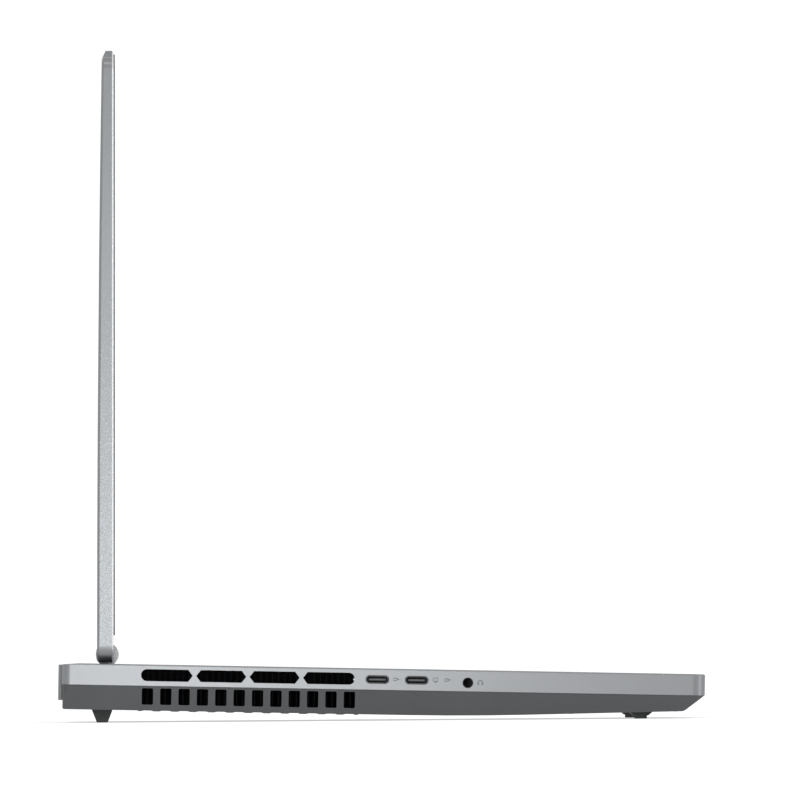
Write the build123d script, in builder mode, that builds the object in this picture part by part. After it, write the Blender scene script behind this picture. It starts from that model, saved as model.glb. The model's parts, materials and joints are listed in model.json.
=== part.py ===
"""A 16 inch laptop computer with its lid open, as separate pieces in their assembled places.

World frame: +X to the user's right, +Y to the rear, +Z up, origin under the middle of the base on
the table. Two working frames carry the design: the deck frame, whose XY plane is the sloping top
of the base, and the lid frame, whose origin is the hinge axis, with Y up the lid and Z out of the
screen. Ranges and points named below are in one of these two frames. All sizes in millimetres.
"""

import os
from math import cos, radians, sin, tan

from build123d import *

# Overall sizes
base_width = 359.7
base_front = -130.2
base_rear = 128.35
deck_height = 20.87
deck_slope = 1.43
deck_side = 8.5
base_thickness = 18.5
front_corner = 5.0
rear_corner = 3.2

# Walls and gaps
deck_wall = 1.6
side_wall = 1.3
cover_wall = 1.4
rim_round = 0.6
rear_fall = 0.5
rear_fall_length = 6.5
slip = 0.1
button_gap = 0.25
key_gap = 0.35

# Belly of the base: level at the rear, rising to the front, then a steep chin
belly_turn_y = -34.7
belly_rise = 2.32
belly_blend = 1200.0
chin_start_y = -121.8
chin_slope = 38.0
chin_round = 3.0
heel_round = 0.8
cover_inset = 0.3
cover_draft = 8.0

# Hinge
hinge_y = 110.4
hinge_rise = 3.8
barrel_radius = 4.7
barrel_flat = 0.35
knuckle_inset = 0.2
knuckle_gap = 0.3
pin_radius = 1.5
pin_clearance = 0.05
hinge_start_x = 88.0
hinge_end_x = 140.0
knuckle_start_x = 104.0
knuckle_width = 12.0
stem_depth = 6.0
stem_gap = 0.3
trough_gap = 0.5
trough_end_wall = 1.65
trough_floor = 1.2
bracket_gap = 2.0
bracket_plate = 2.0
bracket_overhang = 8.0
arm_height = 28.0
arm_thickness = 1.8
cap_wall = 1.3
cap_gap = 0.25

# Lid
lid_lean = 0.42
lid_side_inset = 0.5
lid_bottom = -3.2
lid_top = 240.2
lid_back = 4.05
lid_back_top = 2.1
lid_front = 2.6
lid_crown_start = 5.0
lid_bottom_corner = 6.5
lid_top_corner = 4.5
lid_edge_round = 1.0
lid_shell_wall = 0.9
lid_rim_wall = 1.2
lid_rim_chamfer = 0.6
bump_height = 4.7
bump_width = 96.0
bump_slope = 4.0
bump_corner = 2.0
bevel_depth = 1.5
bevel_height = 3.2
bezel_thickness = 0.9
bezel_fit = 0.05
screen_side = 7.0
screen_height = 215.4
screen_bottom = 16.6
panel_border = 2.0
panel_foot = 6.0
panel_thickness = 1.9
gasket_inset = 1.5
gasket_width = 1.4
gasket_rise = 0.55
gasket_bottom = 7.9
camera_height = 238.4
camera_holes = {0: 1.8, 8: 0.5, -14: 0.6, 14: 0.6}
camera_board = 2.0
camera_board_width = 70.0
camera_board_height = 6.0

# Keyboard
keyboard_margin = 10.35
key_row = 18.3
function_row = 12.0
key_space = 2.6
keypad_unit = 15.4
keypad_gap = 2.9
keyboard_rear_y = 79.5
key_columns = 15
well_margin = 0.5
well_corner = 2.0
grid_lap = 1.2
grid_thickness = 1.0
key_below_deck = 0.15
key_height = 2.3
key_corner = 1.3
key_taper = 9.0
plate_depth = 4.2
plate_thickness = 0.6

# Touchpad, power button and camera shutter switch
pad_width = 120.0
pad_depth = 76.0
pad_front_gap = 14.5
pad_below_deck = 0.1
pad_thickness = 1.4
pad_board = 1.2
pad_board_inset = 2.0
pad_corner = 2.5
tray_depth = 3.3
tray_thickness = 0.6
power_y = 93.5
power_width = 15.0
power_depth = 6.6
button_height = 2.5
button_lip = 1.2
button_lip_height = 0.8
shutter_y = -20.0
shutter_z = -4.4
shutter_knob = 3.2
shutter_height = 2.0
shutter_travel = 2.4
shutter_lip = 2.0

# Side vents
vent_first_y = 96.6
vent_last_y = 10.7
vent_z = -4.25
vent_height = 4.8
vent_count = 4
rib_waist = 1.4
rib_foot = 5.0
window_first_y = 93.9
window_pitch = 7.38
window_count = 12
window_width = 4.55
window_height = 6.6
window_z = -12.8
window_corner = 0.6
scallop_radius = 7.5
scallop_depth = 0.45
scallop_length = 26.0
scallop_skirt = 0.3

# Side sockets, as places (y, z) on the side walls
usb_c_places = [(1.6, -4.4), (-14.2, -4.4)]
usb_c_hole = (9.5, 3.5)
usb_c_shell = (8.94, 3.26)
usb_c_mouth = (8.34, 2.56)
usb_c_tongue = (6.7, 0.7)
usb_c_depth = 6.8
jack_place = (-34.8, -5.1)
jack_hole_radius = 2.15
jack_bore_radius = 1.8
jack_bore_depth = 13.0
jack_body = (6.4, 5.8)
jack_depth = 14.0
card_place = (-46.0, -4.4)
card_slot = (25.0, 2.6)
card_body = (29.0, 4.7)
card_depth = 26.0
usb_a_side_place = (-89.5, -4.65)
usb_a_hole = (13.2, 5.8)
usb_a_mouth = (12.5, 5.12)
usb_a_tongue = (11.1, 1.84)
usb_a_depth = 13.0
shell_gap = 0.05

# Rear port housing, with places along x on its rear face
rear_lip = 1.5
housing_end = 15.95
port_half_width = 78.0
housing_top = -1.7
housing_foot = -14.9
housing_depth = 4.45
housing_wall = 1.2
flange_top = -0.65
flange_overlap = 1.6
flange_thickness = 1.4
louvre_first_x = 90.0
louvre_pitch = 5.0
louvre_end = 4.0
louvre_width = 3.0
louvre_height = 9.0
rear_port_z = -8.3
rear_socket_depth = 14.0
power_x = -56.0
power_mouth = (11.0, 4.6)
network_x = -27.0
network_mouth = (11.9, 8.6)
video_x = 2.0
video_mouth = (14.2, 4.7)
video_tongue = (10.6, 1.0)
usb_a_rear_x = (30.0, 56.0)
socket_wall = 0.9

# Feet and screws
rear_foot_y = 112.4
rear_foot_length = 296.0
rear_foot_top = 9.2
rear_foot_sole = 4.4
front_foot_y = -104.7
front_foot_end = 51.85
front_foot_length = 44.0
boss_top = 10.8
boss_sole = 5.6
front_pad = 4.6
front_pad_height = 1.2
foot_round = 0.3
screw_insets = [(8.85, 119.8), (8.85, -75), (11.85, -117), (134.85, 101)]
pad_screw_gap = 17.75
pad_screw_y = -117.0
screw_head_radius = 2.3
screw_head_height = 0.8
screw_shank_radius = 1.1
screw_length = 4.6
post_radius = 2.8

# Inside
fan_y = 63.0
fan_fin_gap = 1.5
fan_board_gap = 2.1
fan_top = -6.4
fan_height = 8.2
fan_wall = 0.8
fan_rim = 3.0
impeller_gap = 4.0
mouth_lap = 12.0
impeller_hub = 12.0
impeller_blades = 31
impeller_height = 6.0
axle_radius = 2.0
fin_pitch = 2.4
fin_thickness = 0.5
side_fin_gap = 1.25
side_fin_upper = 5.0
side_fin_lower = 16.5
side_fin_step = 2.0
fin_foot_rise = 1.0
fin_strip = 0.4
duct_wall = 0.5
rear_fin_y = 125.9
rear_fin_upper = 8.4
rear_fin_lower = 21.3
pipe_top = -7.1
pipe_height = 2.4
pipe_width = 8.0
pipe_start = (8.0, 62.0)
pipe_elbow_x = (40.0, 72.0)
pipe_end = 3.0
pipe_bend = 14.0
spreader_size = (104.0, 48.0)
spreader_thickness = 0.7
chip_x = 28.0
chip_size = 34.0
board_top = -11.8
board_thickness = 1.2
board_half_width = 75.0
board_front = -26.0
board_rear = 123.8
memory_x = (-40.0, 30.0)
memory_ys = (-12.0, 18.0)
memory_depth = 27.0
memory_height = 3.6
drive_size = (22.0, 44.0, 3.0)
drive_place = (-58.0, 2.0)
radio_size = (30.0, 40.0, 3.0)
radio_place = (52.0, 0.0)
intake_lap = 5.1
intake_depth = 60.0
intake_corner = 8.0
mesh_lap = 3.0
mesh_thickness = 0.5
mesh_hole = 5.0
mesh_pitch = 6.5
grille_slot = (2.0, 16.0)
grille_pitch = 4.0
grille_count = 7
grille_end = 29.85
grille_y = -88.0
battery_end = 41.85
battery_depth = 76.0
battery_height = 6.6
cell_gap = 1.5
speaker_size = (28.0, 56.0, 5.0)
speaker_gap = 1.5

# Frames and values worked out from the sizes above
deck_plane = Plane(
    origin=(0, 0, deck_height),
    x_dir=(1, 0, 0),
    z_dir=(0, -sin(radians(deck_slope)), cos(radians(deck_slope))),
)
side_plane = Plane(origin=deck_plane.origin, x_dir=deck_plane.y_dir, z_dir=(1, 0, 0))
hinge_point = deck_plane.from_local_coords(Vector(0, hinge_y, hinge_rise))
lid_plane = Plane(
    origin=hinge_point,
    x_dir=(1, 0, 0),
    z_dir=(0, -cos(radians(lid_lean)), -sin(radians(lid_lean))),
)
lid_side_plane = Plane(origin=hinge_point, x_dir=lid_plane.y_dir, z_dir=(1, 0, 0))
belly_tilt = radians(belly_rise)
belly_plane = Plane(
    origin=deck_plane.from_local_coords(Vector(0, belly_turn_y, cover_wall + slip - base_thickness)),
    x_dir=(1, 0, 0),
    z_dir=deck_plane.z_dir * cos(belly_tilt) + deck_plane.y_dir * sin(belly_tilt),
)
half_width = base_width / 2
inner_x = half_width - side_wall
barrel_back = barrel_radius - barrel_flat
knuckle_radius = barrel_radius - knuckle_inset
trough_radius = barrel_radius + trough_gap
arm_knuckle = barrel_radius - cap_wall
lid_width = base_width - 2 * lid_side_inset
screen_width = lid_width - 2 * screen_side
trough_end = half_width - trough_end_wall
key_unit = (base_width - 2 * keyboard_margin - keypad_gap - 4 * keypad_unit) / key_columns
keyboard_left = -(key_columns * key_unit + keypad_gap + 4 * keypad_unit) / 2
keyboard_depth = function_row + 5 * key_row
keyboard_y = keyboard_rear_y - keyboard_depth / 2
well_size = (2 * (well_margin - keyboard_left), keyboard_depth + 2 * well_margin)
grid_size = (well_size[0] + 2 * grid_lap, well_size[1] + 2 * grid_lap)
pad_x = keyboard_left + key_columns * key_unit / 2
pad_y = base_front + pad_front_gap + pad_depth / 2
vent_length = vent_first_y - vent_last_y
window_y = window_first_y - window_pitch * (window_count - 1) / 2
skirt_y = (window_y - window_pitch * window_count / 2, window_y + window_pitch * window_count / 2)
skirt_z = -base_thickness - scallop_skirt
skirt_outer_x = half_width - cover_inset + (skirt_z + deck_side) * tan(radians(cover_draft))
panel_front = lid_front - bezel_thickness
notch_top = barrel_radius + cap_gap
knuckle_end_x = knuckle_start_x + knuckle_width
bracket_top = hinge_rise - trough_radius - trough_floor - bracket_gap
fan_floor = fan_top - fan_height
usb_a_wall = (usb_a_hole[0] - usb_a_mouth[0]) / 2 - shell_gap
pipe_foot = pipe_top - pipe_height
flange_rear = base_rear + rear_lip
housing_rear = flange_rear - flange_thickness
housing_front = housing_rear - housing_depth
board_foot = board_top - board_thickness
housing_half_width = half_width - housing_end
louvre_room = housing_half_width - housing_wall - louvre_end - louvre_first_x
louvre_count = int(louvre_room / louvre_pitch) + 1
louvre_last_x = louvre_first_x + (louvre_count - 1) * louvre_pitch
front_foot_x = half_width - front_foot_end
pad_screw_x = pad_width / 2 - pad_x + pad_screw_gap
screw_places = [(pad_screw_x, pad_screw_y), *[(half_width - inset, y) for inset, y in screw_insets]]
side_fin_x = half_width - cover_inset - cover_wall - side_fin_gap
fan_inner_x = board_half_width + fan_board_gap
fan_outer_x = side_fin_x - side_fin_lower - fan_fin_gap
fan_size = fan_outer_x - fan_inner_x
fan_x = (fan_inner_x + fan_outer_x) / 2
intake_width = fan_size + 2 * intake_lap
fan_chamber_radius = fan_size / 2 - fan_rim
impeller_radius = fan_chamber_radius - impeller_gap
fan_mouth_radius = impeller_radius - mouth_lap
grille_x = half_width - grille_end
battery_half_width = half_width - battery_end


def deck_level(z):
    """The plane at height z over the deck's top, parallel to it."""
    return deck_plane.offset(z)


def belly_z(y):
    """Height of the underside at y, in the deck frame."""
    return max(0.0, belly_turn_y - y) * tan(belly_tilt) - base_thickness


def span(side, near, far):
    """The range from near to far, counted outwards from the middle on one side."""
    return tuple(sorted((side * near, side * far)))


def box_in(plane, x_range, y_range, z_range, mode=Mode.ADD):
    """A box given by its ranges along the plane's axes."""
    ranges = (x_range, y_range, z_range)
    centre = [(low + high) / 2 for low, high in ranges]
    with Locations(plane.location * Location(centre)):
        Box(*[high - low for low, high in ranges], mode=mode)


def deck_box(x_range, y_range, z_range, mode=Mode.ADD):
    """A box in the deck frame."""
    box_in(deck_plane, x_range, y_range, z_range, mode)


def lid_box(x_range, y_range, z_range, mode=Mode.ADD):
    """A box in the lid frame."""
    box_in(lid_plane, x_range, y_range, z_range, mode)


def cylinder_in(plane, centre, axis, radius, length, mode=Mode.ADD):
    """A cylinder with its middle at centre, along one of the plane's axes."""
    turn = {"x": (0, 90, 0), "y": (90, 0, 0), "z": (0, 0, 0)}[axis]
    with Locations(plane.location * Location(centre, turn)):
        Cylinder(radius, length, mode=mode)


def hinge_cylinder(x_range, radius, mode=Mode.ADD):
    """A cylinder on the hinge axis."""
    centre = ((x_range[0] + x_range[1]) / 2, 0, 0)
    cylinder_in(lid_plane, centre, "x", radius, x_range[1] - x_range[0], mode)


def base_outline(plane, inset=0.0):
    """The base seen from above, taken in by inset all round."""
    with BuildSketch(plane) as outline:
        with Locations((0, (base_front + base_rear) / 2)):
            Rectangle(base_width - 2 * inset, base_rear - base_front - 2 * inset)
        fillet(outline.vertices().group_by(Axis.Y)[0], front_corner - inset)
        fillet(outline.vertices().group_by(Axis.Y)[-1], rear_corner - inset)
    return outline.sketch


def rounded_slab(top, centre, size, corner, depth, mode=Mode.ADD):
    """A rounded rectangle on the top plane, carried down by depth."""
    with BuildSketch(top) as outline:
        with Locations(centre):
            RectangleRounded(*size, corner)
    extrude(outline.sketch, amount=-depth, mode=mode)


def stadium(plane, centre, size):
    """A slot with round ends whose length and height are its outer sizes."""
    with BuildSketch(plane) as slot:
        with Locations(centre):
            SlotOverall(*size)
    return slot.sketch


def disc(plane, centre, radius):
    """A circle on a plane."""
    with BuildSketch(plane) as shape:
        with Locations(centre):
            Circle(radius)
    return shape.sketch


def rectangle(plane, centre, size):
    """A plain rectangle on a plane."""
    with BuildSketch(plane) as shape:
        with Locations(centre):
            Rectangle(*size)
    return shape.sketch


def wall_cut(side, sketcher, *values):
    """Cut a sketch through the side wall of the piece being made."""
    start = side_plane.offset(side * (half_width - 3 * side_wall))
    extrude(sketcher(start, *values), amount=side * 4 * side_wall, mode=Mode.SUBTRACT)


def write(piece, name):
    """Label a finished piece and write its file."""
    piece.part.label = name
    export_step(piece.part, f"parts/{name}.step")


# Keyboard layout


def key_cells():
    """For each group of keys, the cells (x, y, width, depth) of its keys in the deck frame."""
    cells = {}
    rears = [keyboard_rear_y - function_row - line * key_row for line in range(5)]
    keypad = [keyboard_left + key_columns * key_unit + keypad_gap + i * keypad_unit for i in range(4)]

    def add_row(group, left, rear, depth, widths):
        for width in widths:
            cells.setdefault(group, []).append((left + width / 2, rear - depth / 2, width, depth))
            left += width
        return left

    def units(*counts):
        return [count * key_unit for count in counts]

    function_keys = [key_columns * key_unit / 16] * 16
    add_row("function_keys", keyboard_left, keyboard_rear_y, function_row, function_keys)
    add_row("function_keys", keypad[0], keyboard_rear_y, function_row, [keypad_unit] * 4)
    add_row("number_keys", keyboard_left, rears[0], key_row, units(*[1] * 13, 2))
    add_row("upper_letter_keys", keyboard_left, rears[1], key_row, units(1.5, *[1] * 12, 1.5))
    end = add_row("home_letter_keys", keyboard_left, rears[2], key_row, units(1.75, *[1] * 11))
    add_row("enter_key", end, rears[2], key_row, units(2.25))
    end = add_row("lower_letter_keys", keyboard_left, rears[3], key_row, units(2.25, *[1] * 10, 1.75))
    add_row("arrow_keys", end, rears[3], key_row, units(1))
    end = add_row("modifier_keys", keyboard_left, rears[4], key_row, units(1.25, 1, 1, 1.25))
    end = add_row("space_bar", end, rears[4], key_row, units(5.5))
    end = add_row("modifier_keys", end, rears[4], key_row, units(1, 1, 1))
    add_row("arrow_keys", end, rears[4], key_row, units(1, 1))
    add_row("arrow_keys", keypad[0], rears[4], key_row, [keypad_unit])
    for line, columns in enumerate([4, 3, 3, 3]):
        add_row("keypad_keys", keypad[0], rears[line], key_row, [keypad_unit] * columns)
    add_row("keypad_keys", keypad[1], rears[4], key_row, [keypad_unit] * 2)
    add_row("keypad_keys", keypad[3], rears[1], 2 * key_row, [keypad_unit])
    add_row("keypad_keys", keypad[3], rears[3], 2 * key_row, [keypad_unit])
    return cells


def key_outlines(plane, cells, gap):
    """A rounded rectangle in each cell, with gap between neighbours."""
    with BuildSketch(plane) as outlines:
        for x, y, width, depth in cells:
            with Locations((x, y)):
                RectangleRounded(width - gap, depth - gap, key_corner)
    return outlines.sketch


key_groups = key_cells()


def make_keys(cells):
    """Key caps with sloping sides, their tops just under the deck."""
    with BuildPart() as keys:
        foot = deck_level(-key_below_deck - key_height)
        extrude(key_outlines(foot, cells, key_space), amount=key_height, taper=key_taper)
    return keys


def make_keyboard_grid():
    """The frame around the keys, with a skirt that rests on the steel plate."""
    with BuildPart() as keyboard_grid:
        top = deck_level(-deck_wall)
        rounded_slab(top, (0, keyboard_y), grid_size, well_corner, plate_depth - deck_wall)
        inner = (grid_size[0] - 2 * grid_lap, grid_size[1] - 2 * grid_lap)
        under = top.offset(-grid_thickness)
        rounded_slab(under, (0, keyboard_y), inner, well_corner, plate_depth, Mode.SUBTRACT)
        for cells in key_groups.values():
            holes = key_outlines(top, cells, key_space - 2 * key_gap)
            extrude(holes, amount=-2 * grid_thickness, mode=Mode.SUBTRACT)
    return keyboard_grid


def make_keyboard_plate():
    """The steel plate under the keys."""
    with BuildPart() as keyboard_plate:
        rounded_slab(deck_level(-plate_depth), (0, keyboard_y), grid_size, well_corner, plate_thickness)
    return keyboard_plate


# Base


def vent_outline(plane):
    """One long side vent, crossed by ribs that are slimmest at their waists."""
    with BuildSketch(plane) as vent:
        with Locations((vent_first_y - vent_length / 2, vent_z)):
            SlotOverall(vent_length, vent_height)
        for rib in range(1, vent_count):
            y = vent_first_y - rib * vent_length / vent_count
            top, foot = vent_z + vent_height, vent_z - vent_height
            reach = rib_foot - rib_waist / 2
            with BuildLine():
                Polyline(
                    (y - reach, foot),
                    (y - rib_waist / 2, vent_z),
                    (y - reach, top),
                    (y + reach, top),
                    (y + rib_waist / 2, vent_z),
                    (y + reach, foot),
                    close=True,
                )
            make_face(mode=Mode.SUBTRACT)
    return vent.sketch


def crown_face_edges(piece, direction):
    """The edges of the face that is furthest along a direction."""
    return piece.faces().sort_by(Axis(deck_plane.origin, direction))[-1].edges()


def make_deck_cover():
    """The upper shell: keyboard well, hinge trough, side vents and holes for the sockets."""
    with BuildPart() as deck_cover:
        extrude(base_outline(deck_plane), amount=-deck_side)
        fillet(crown_face_edges(deck_cover, deck_plane.z_dir), rim_round)
        with BuildSketch(side_plane):
            with BuildLine():
                start = (base_rear - rear_fall_length, 0)
                Polyline(start, (base_rear + 1, 1), (base_rear, -rear_fall), close=True)
            make_face()
        extrude(amount=half_width, both=True, mode=Mode.SUBTRACT)
        hollow = base_outline(deck_level(-deck_wall), side_wall)
        extrude(hollow, amount=-deck_side, mode=Mode.SUBTRACT)
        trough_y = (hinge_y - trough_radius - trough_floor, hinge_y + trough_radius + trough_floor)
        deck_box((-inner_x, inner_x), trough_y, (bracket_top + bracket_gap, -deck_wall))
        for side in (-1, 1):
            for x in (knuckle_start_x - post_radius, knuckle_end_x + post_radius):
                middle = (side * x, hinge_y, bracket_top + bracket_gap / 2)
                cylinder_in(deck_plane, middle, "z", post_radius, bracket_gap)
            slot_x = span(side, knuckle_start_x - stem_gap, knuckle_end_x + stem_gap)
            slot_y = (hinge_y - stem_depth / 2 - stem_gap, hinge_y + stem_depth / 2 + stem_gap)
            deck_box(slot_x, slot_y, (-deck_side, 0), Mode.SUBTRACT)
            wall_cut(side, vent_outline)
        hinge_cylinder((-trough_end, trough_end), trough_radius, Mode.SUBTRACT)
        above = deck_level(deck_wall)
        rounded_slab(above, (0, keyboard_y), well_size, well_corner, 2 * deck_wall, Mode.SUBTRACT)
        pad_hole = (pad_width + 2 * button_gap, pad_depth + 2 * button_gap)
        rounded_slab(above, (pad_x, pad_y), pad_hole, pad_corner, 2 * deck_wall, Mode.SUBTRACT)
        power_hole = (power_width + 2 * button_gap, power_depth + 2 * button_gap)
        power_corner = power_depth / 2
        rounded_slab(above, (0, power_y), power_hole, power_corner, 2 * deck_wall, Mode.SUBTRACT)
        for place in usb_c_places:
            wall_cut(-1, stadium, place, usb_c_hole)
        wall_cut(-1, disc, jack_place, jack_hole_radius)
        wall_cut(1, rectangle, card_place, card_slot)
        wall_cut(1, rectangle, usb_a_side_place, usb_a_hole)
        knob_hole = (shutter_knob + shutter_travel + 2 * slip, shutter_height + 2 * slip)
        wall_cut(1, rectangle, (shutter_y - shutter_travel / 2, shutter_z), knob_hole)
        rear_x = (-housing_half_width - slip, housing_half_width + slip)
        rear_y = (base_rear - 2 * side_wall, base_rear + side_wall)
        deck_box(rear_x, rear_y, (-2 * deck_side, -deck_wall), Mode.SUBTRACT)
    return deck_cover


def make_screw_posts():
    """The round posts under the deck that the bottom cover's screws go into."""
    with BuildPart() as screw_posts:
        for side in (-1, 1):
            for x, y in screw_places:
                foot = belly_z(y - post_radius) + cover_wall / cos(belly_tilt)
                middle = (side * x, y, (foot - deck_wall) / 2)
                cylinder_in(deck_plane, middle, "z", post_radius, -deck_wall - foot)
                tip = belly_z(y) + screw_length
                middle = (side * x, y, (foot + tip) / 2)
                cylinder_in(deck_plane, middle, "z", screw_shank_radius, tip - foot, Mode.SUBTRACT)
    return screw_posts


def belly_profile(plane, inset):
    """The bottom cover seen from the side, taken in by inset at the rear, below and in front."""
    rear = base_rear - cover_inset
    front = base_front + cover_inset
    chin_z = belly_z(chin_start_y)
    chin_top = chin_z + (chin_start_y - front) * tan(radians(chin_slope))
    with BuildSketch(plane) as profile:
        with BuildLine():
            Polyline(
                (rear, 0),
                (rear, -base_thickness),
                (belly_turn_y, -base_thickness),
                (chin_start_y, chin_z),
                (front, chin_top),
                (front, 0),
                close=True,
            )
        make_face()
        if inset:
            offset(amount=-inset, kind=Kind.INTERSECTION)
        else:
            low = profile.vertices().sort_by(Axis.Y)
            fillet(low[0:2].sort_by(Axis.X)[-1], heel_round)
            turn = profile.vertices().sort_by_distance((belly_turn_y, -base_thickness))[0]
            fillet(turn, belly_blend)
            chin = profile.vertices().sort_by_distance((chin_start_y, chin_z))[0]
            fillet(chin, chin_round)
    return profile.sketch


def make_cover_block(inset, top):
    """The space inside the bottom cover's outside, taken in by inset, up to a height."""
    with BuildPart() as block:
        extrude(belly_profile(side_plane, inset), amount=half_width, both=True)
        outline = base_outline(deck_level(top), cover_inset + inset)
        extrude(outline, amount=-base_thickness, mode=Mode.INTERSECT)
        with BuildSketch(Plane(deck_plane.origin, (1, 0, 0), deck_plane.y_dir)):
            lean = tan(radians(cover_draft))
            top_x = half_width - cover_inset - inset / cos(radians(cover_draft))
            foot_x = top_x - (base_thickness - deck_side) * lean
            with BuildLine():
                Polyline(
                    (-top_x, 0),
                    (-top_x, deck_side),
                    (-foot_x, base_thickness),
                    (foot_x, base_thickness),
                    (top_x, deck_side),
                    (top_x, 0),
                    close=True,
                )
            make_face()
        extrude(amount=base_width, both=True, mode=Mode.INTERSECT)
    return block.part


def window_outlines(plane):
    """The row of small windows in the bottom cover's side."""
    with BuildSketch(plane) as windows:
        with Locations((window_y, window_z)):
            with GridLocations(window_pitch, 1, window_count, 1):
                RectangleRounded(window_width, window_height, window_corner)
    return windows.sketch


def foot_profile(plane, y, top_width, top_z, sole_width, sole_z):
    """The section of a foot or boss that narrows downwards, in the world frame."""
    with BuildSketch(plane) as profile:
        with BuildLine():
            Polyline(
                (y - top_width / 2, top_z),
                (y - sole_width / 2, sole_z),
                (y + sole_width / 2, sole_z),
                (y + top_width / 2, top_z),
                close=True,
            )
        make_face()
    return profile.sketch


def underside_height(y):
    """Height of the underside over the table, near y."""
    return deck_plane.from_local_coords(Vector(0, y, belly_z(y))).Z


def make_bottom_cover():
    """The lower shell: windows, scalloped sides, intakes, speaker grilles and front bosses."""
    outside = make_cover_block(0, -deck_side)
    inside = make_cover_block(cover_wall, 0)
    with BuildPart() as bottom_cover:
        add(outside)
        for side in (-1, 1):
            middle = side * front_foot_x
            height = underside_height(front_foot_y)
            plane = Plane.YZ.offset(middle)
            section = (front_foot_y, boss_top, height + cover_wall / 2, boss_sole, front_pad_height)
            extrude(foot_profile(plane, *section), amount=front_foot_length / 2, both=True)
            skirt_x = span(side, half_width - scallop_length / 2, skirt_outer_x)
            deck_box(skirt_x, skirt_y, (skirt_z, cover_wall / 2 - base_thickness))
        add(inside, mode=Mode.SUBTRACT)
        for side in (-1, 1):
            wall = side_plane.offset(side * (half_width - 6 * cover_wall))
            extrude(window_outlines(wall), amount=side * 8 * cover_wall, mode=Mode.SUBTRACT)
            for index in range(window_count):
                y = window_first_y - index * window_pitch
                centre_z = skirt_z + scallop_depth - scallop_radius
                middle = (side * half_width, y, centre_z)
                size = (scallop_radius, scallop_length)
                cylinder_in(deck_plane, middle, "x", *size, Mode.SUBTRACT)
            above = deck_level(2 * cover_wall - base_thickness)
            place = (side * fan_x, fan_y)
            intake = (intake_width, intake_depth)
            rounded_slab(above, place, intake, intake_corner, 4 * cover_wall, Mode.SUBTRACT)
            with BuildSketch(deck_level(-base_thickness)) as grille:
                with Locations((side * grille_x, grille_y)):
                    with GridLocations(grille_pitch, 1, grille_count, 1):
                        SlotOverall(grille_slot[1], grille_slot[0], rotation=90)
            extrude(grille.sketch, amount=base_thickness / 2, mode=Mode.SUBTRACT)
            for x, y in screw_places:
                middle = (side * x, y, belly_z(y))
                size = (screw_shank_radius + slip, 4 * cover_wall)
                cylinder_in(deck_plane, middle, "z", *size, Mode.SUBTRACT)
                size = (screw_head_radius + slip, 2 * screw_head_height)
                cylinder_in(deck_plane, middle, "z", *size, Mode.SUBTRACT)
        rear_x = (-housing_half_width - slip, housing_half_width + slip)
        rear_y = (base_rear - 3 * cover_wall, base_rear + cover_wall)
        deck_box(rear_x, rear_y, (housing_foot - slip, 0), Mode.SUBTRACT)
    return bottom_cover


def make_cover_screws():
    """The screws that hold the bottom cover to the deck's posts, heads sunk in the cover."""
    with BuildPart() as cover_screws:
        for side in (-1, 1):
            for x, y in screw_places:
                foot = belly_z(y)
                middle = (side * x, y, foot + screw_head_height / 2)
                cylinder_in(deck_plane, middle, "z", screw_head_radius, screw_head_height)
                middle = (side * x, y, foot + screw_length / 2)
                cylinder_in(deck_plane, middle, "z", screw_shank_radius, screw_length)
    return cover_screws


def make_intake_mesh():
    """A perforated sheet over each intake, inside the bottom cover."""
    with BuildPart() as intake_mesh:
        top = deck_level(cover_wall + mesh_thickness - base_thickness)
        for side in (-1, 1):
            size = (intake_width + 2 * mesh_lap, intake_depth + 2 * mesh_lap)
            rounded_slab(top, (side * fan_x, fan_y), size, intake_corner, mesh_thickness)
            columns = int((intake_width - 2 * intake_corner) / mesh_pitch)
            rows = int((intake_depth - 2 * mesh_hole) / mesh_pitch)
            with BuildSketch(top) as holes:
                with Locations((side * fan_x, fan_y)):
                    with GridLocations(mesh_pitch, mesh_pitch, columns, rows):
                        Rectangle(mesh_hole, mesh_hole)
            extrude(holes.sketch, amount=-mesh_thickness, mode=Mode.SUBTRACT)
    return intake_mesh


def make_rear_foot():
    """The long rubber foot at the rear."""
    outside = make_cover_block(0, 0)
    with BuildPart() as rear_foot:
        section = (rear_foot_y, rear_foot_top, underside_height(rear_foot_y) + 1, rear_foot_sole, 0)
        extrude(foot_profile(Plane.YZ, *section), amount=rear_foot_length / 2, both=True)
        add(outside, mode=Mode.SUBTRACT)
        fillet(rear_foot.edges().filter_by(Axis.X).group_by(Axis.Z)[0], foot_round)
    return rear_foot


def make_front_feet():
    """The rubber pads under the front bosses."""
    with BuildPart() as front_feet:
        for side in (-1, 1):
            with Locations((side * front_foot_x, front_foot_y, front_pad_height / 2)):
                Box(front_foot_length - 2, front_pad, front_pad_height)
        fillet(front_feet.edges().filter_by(Axis.X).group_by(Axis.Z)[0], foot_round)
    return front_feet


# Rear port housing and sockets


def rear_ports(plane):
    """The openings in the rear flange: louvres for the exhausts and one mouth for each socket."""
    with BuildSketch(plane) as openings:
        with Locations((0, rear_port_z)):
            for side in (-1, 1):
                for index in range(louvre_count):
                    with Locations((side * (louvre_first_x + index * louvre_pitch), 0)):
                        Rectangle(louvre_width, louvre_height)
            mouths = {power_x: power_mouth, network_x: network_mouth, video_x: video_mouth}
            mouths.update({x: usb_a_mouth for x in usb_a_rear_x})
            for x, (width, height) in mouths.items():
                with Locations((x, 0)):
                    Rectangle(width, height)
    return openings.sketch


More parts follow.
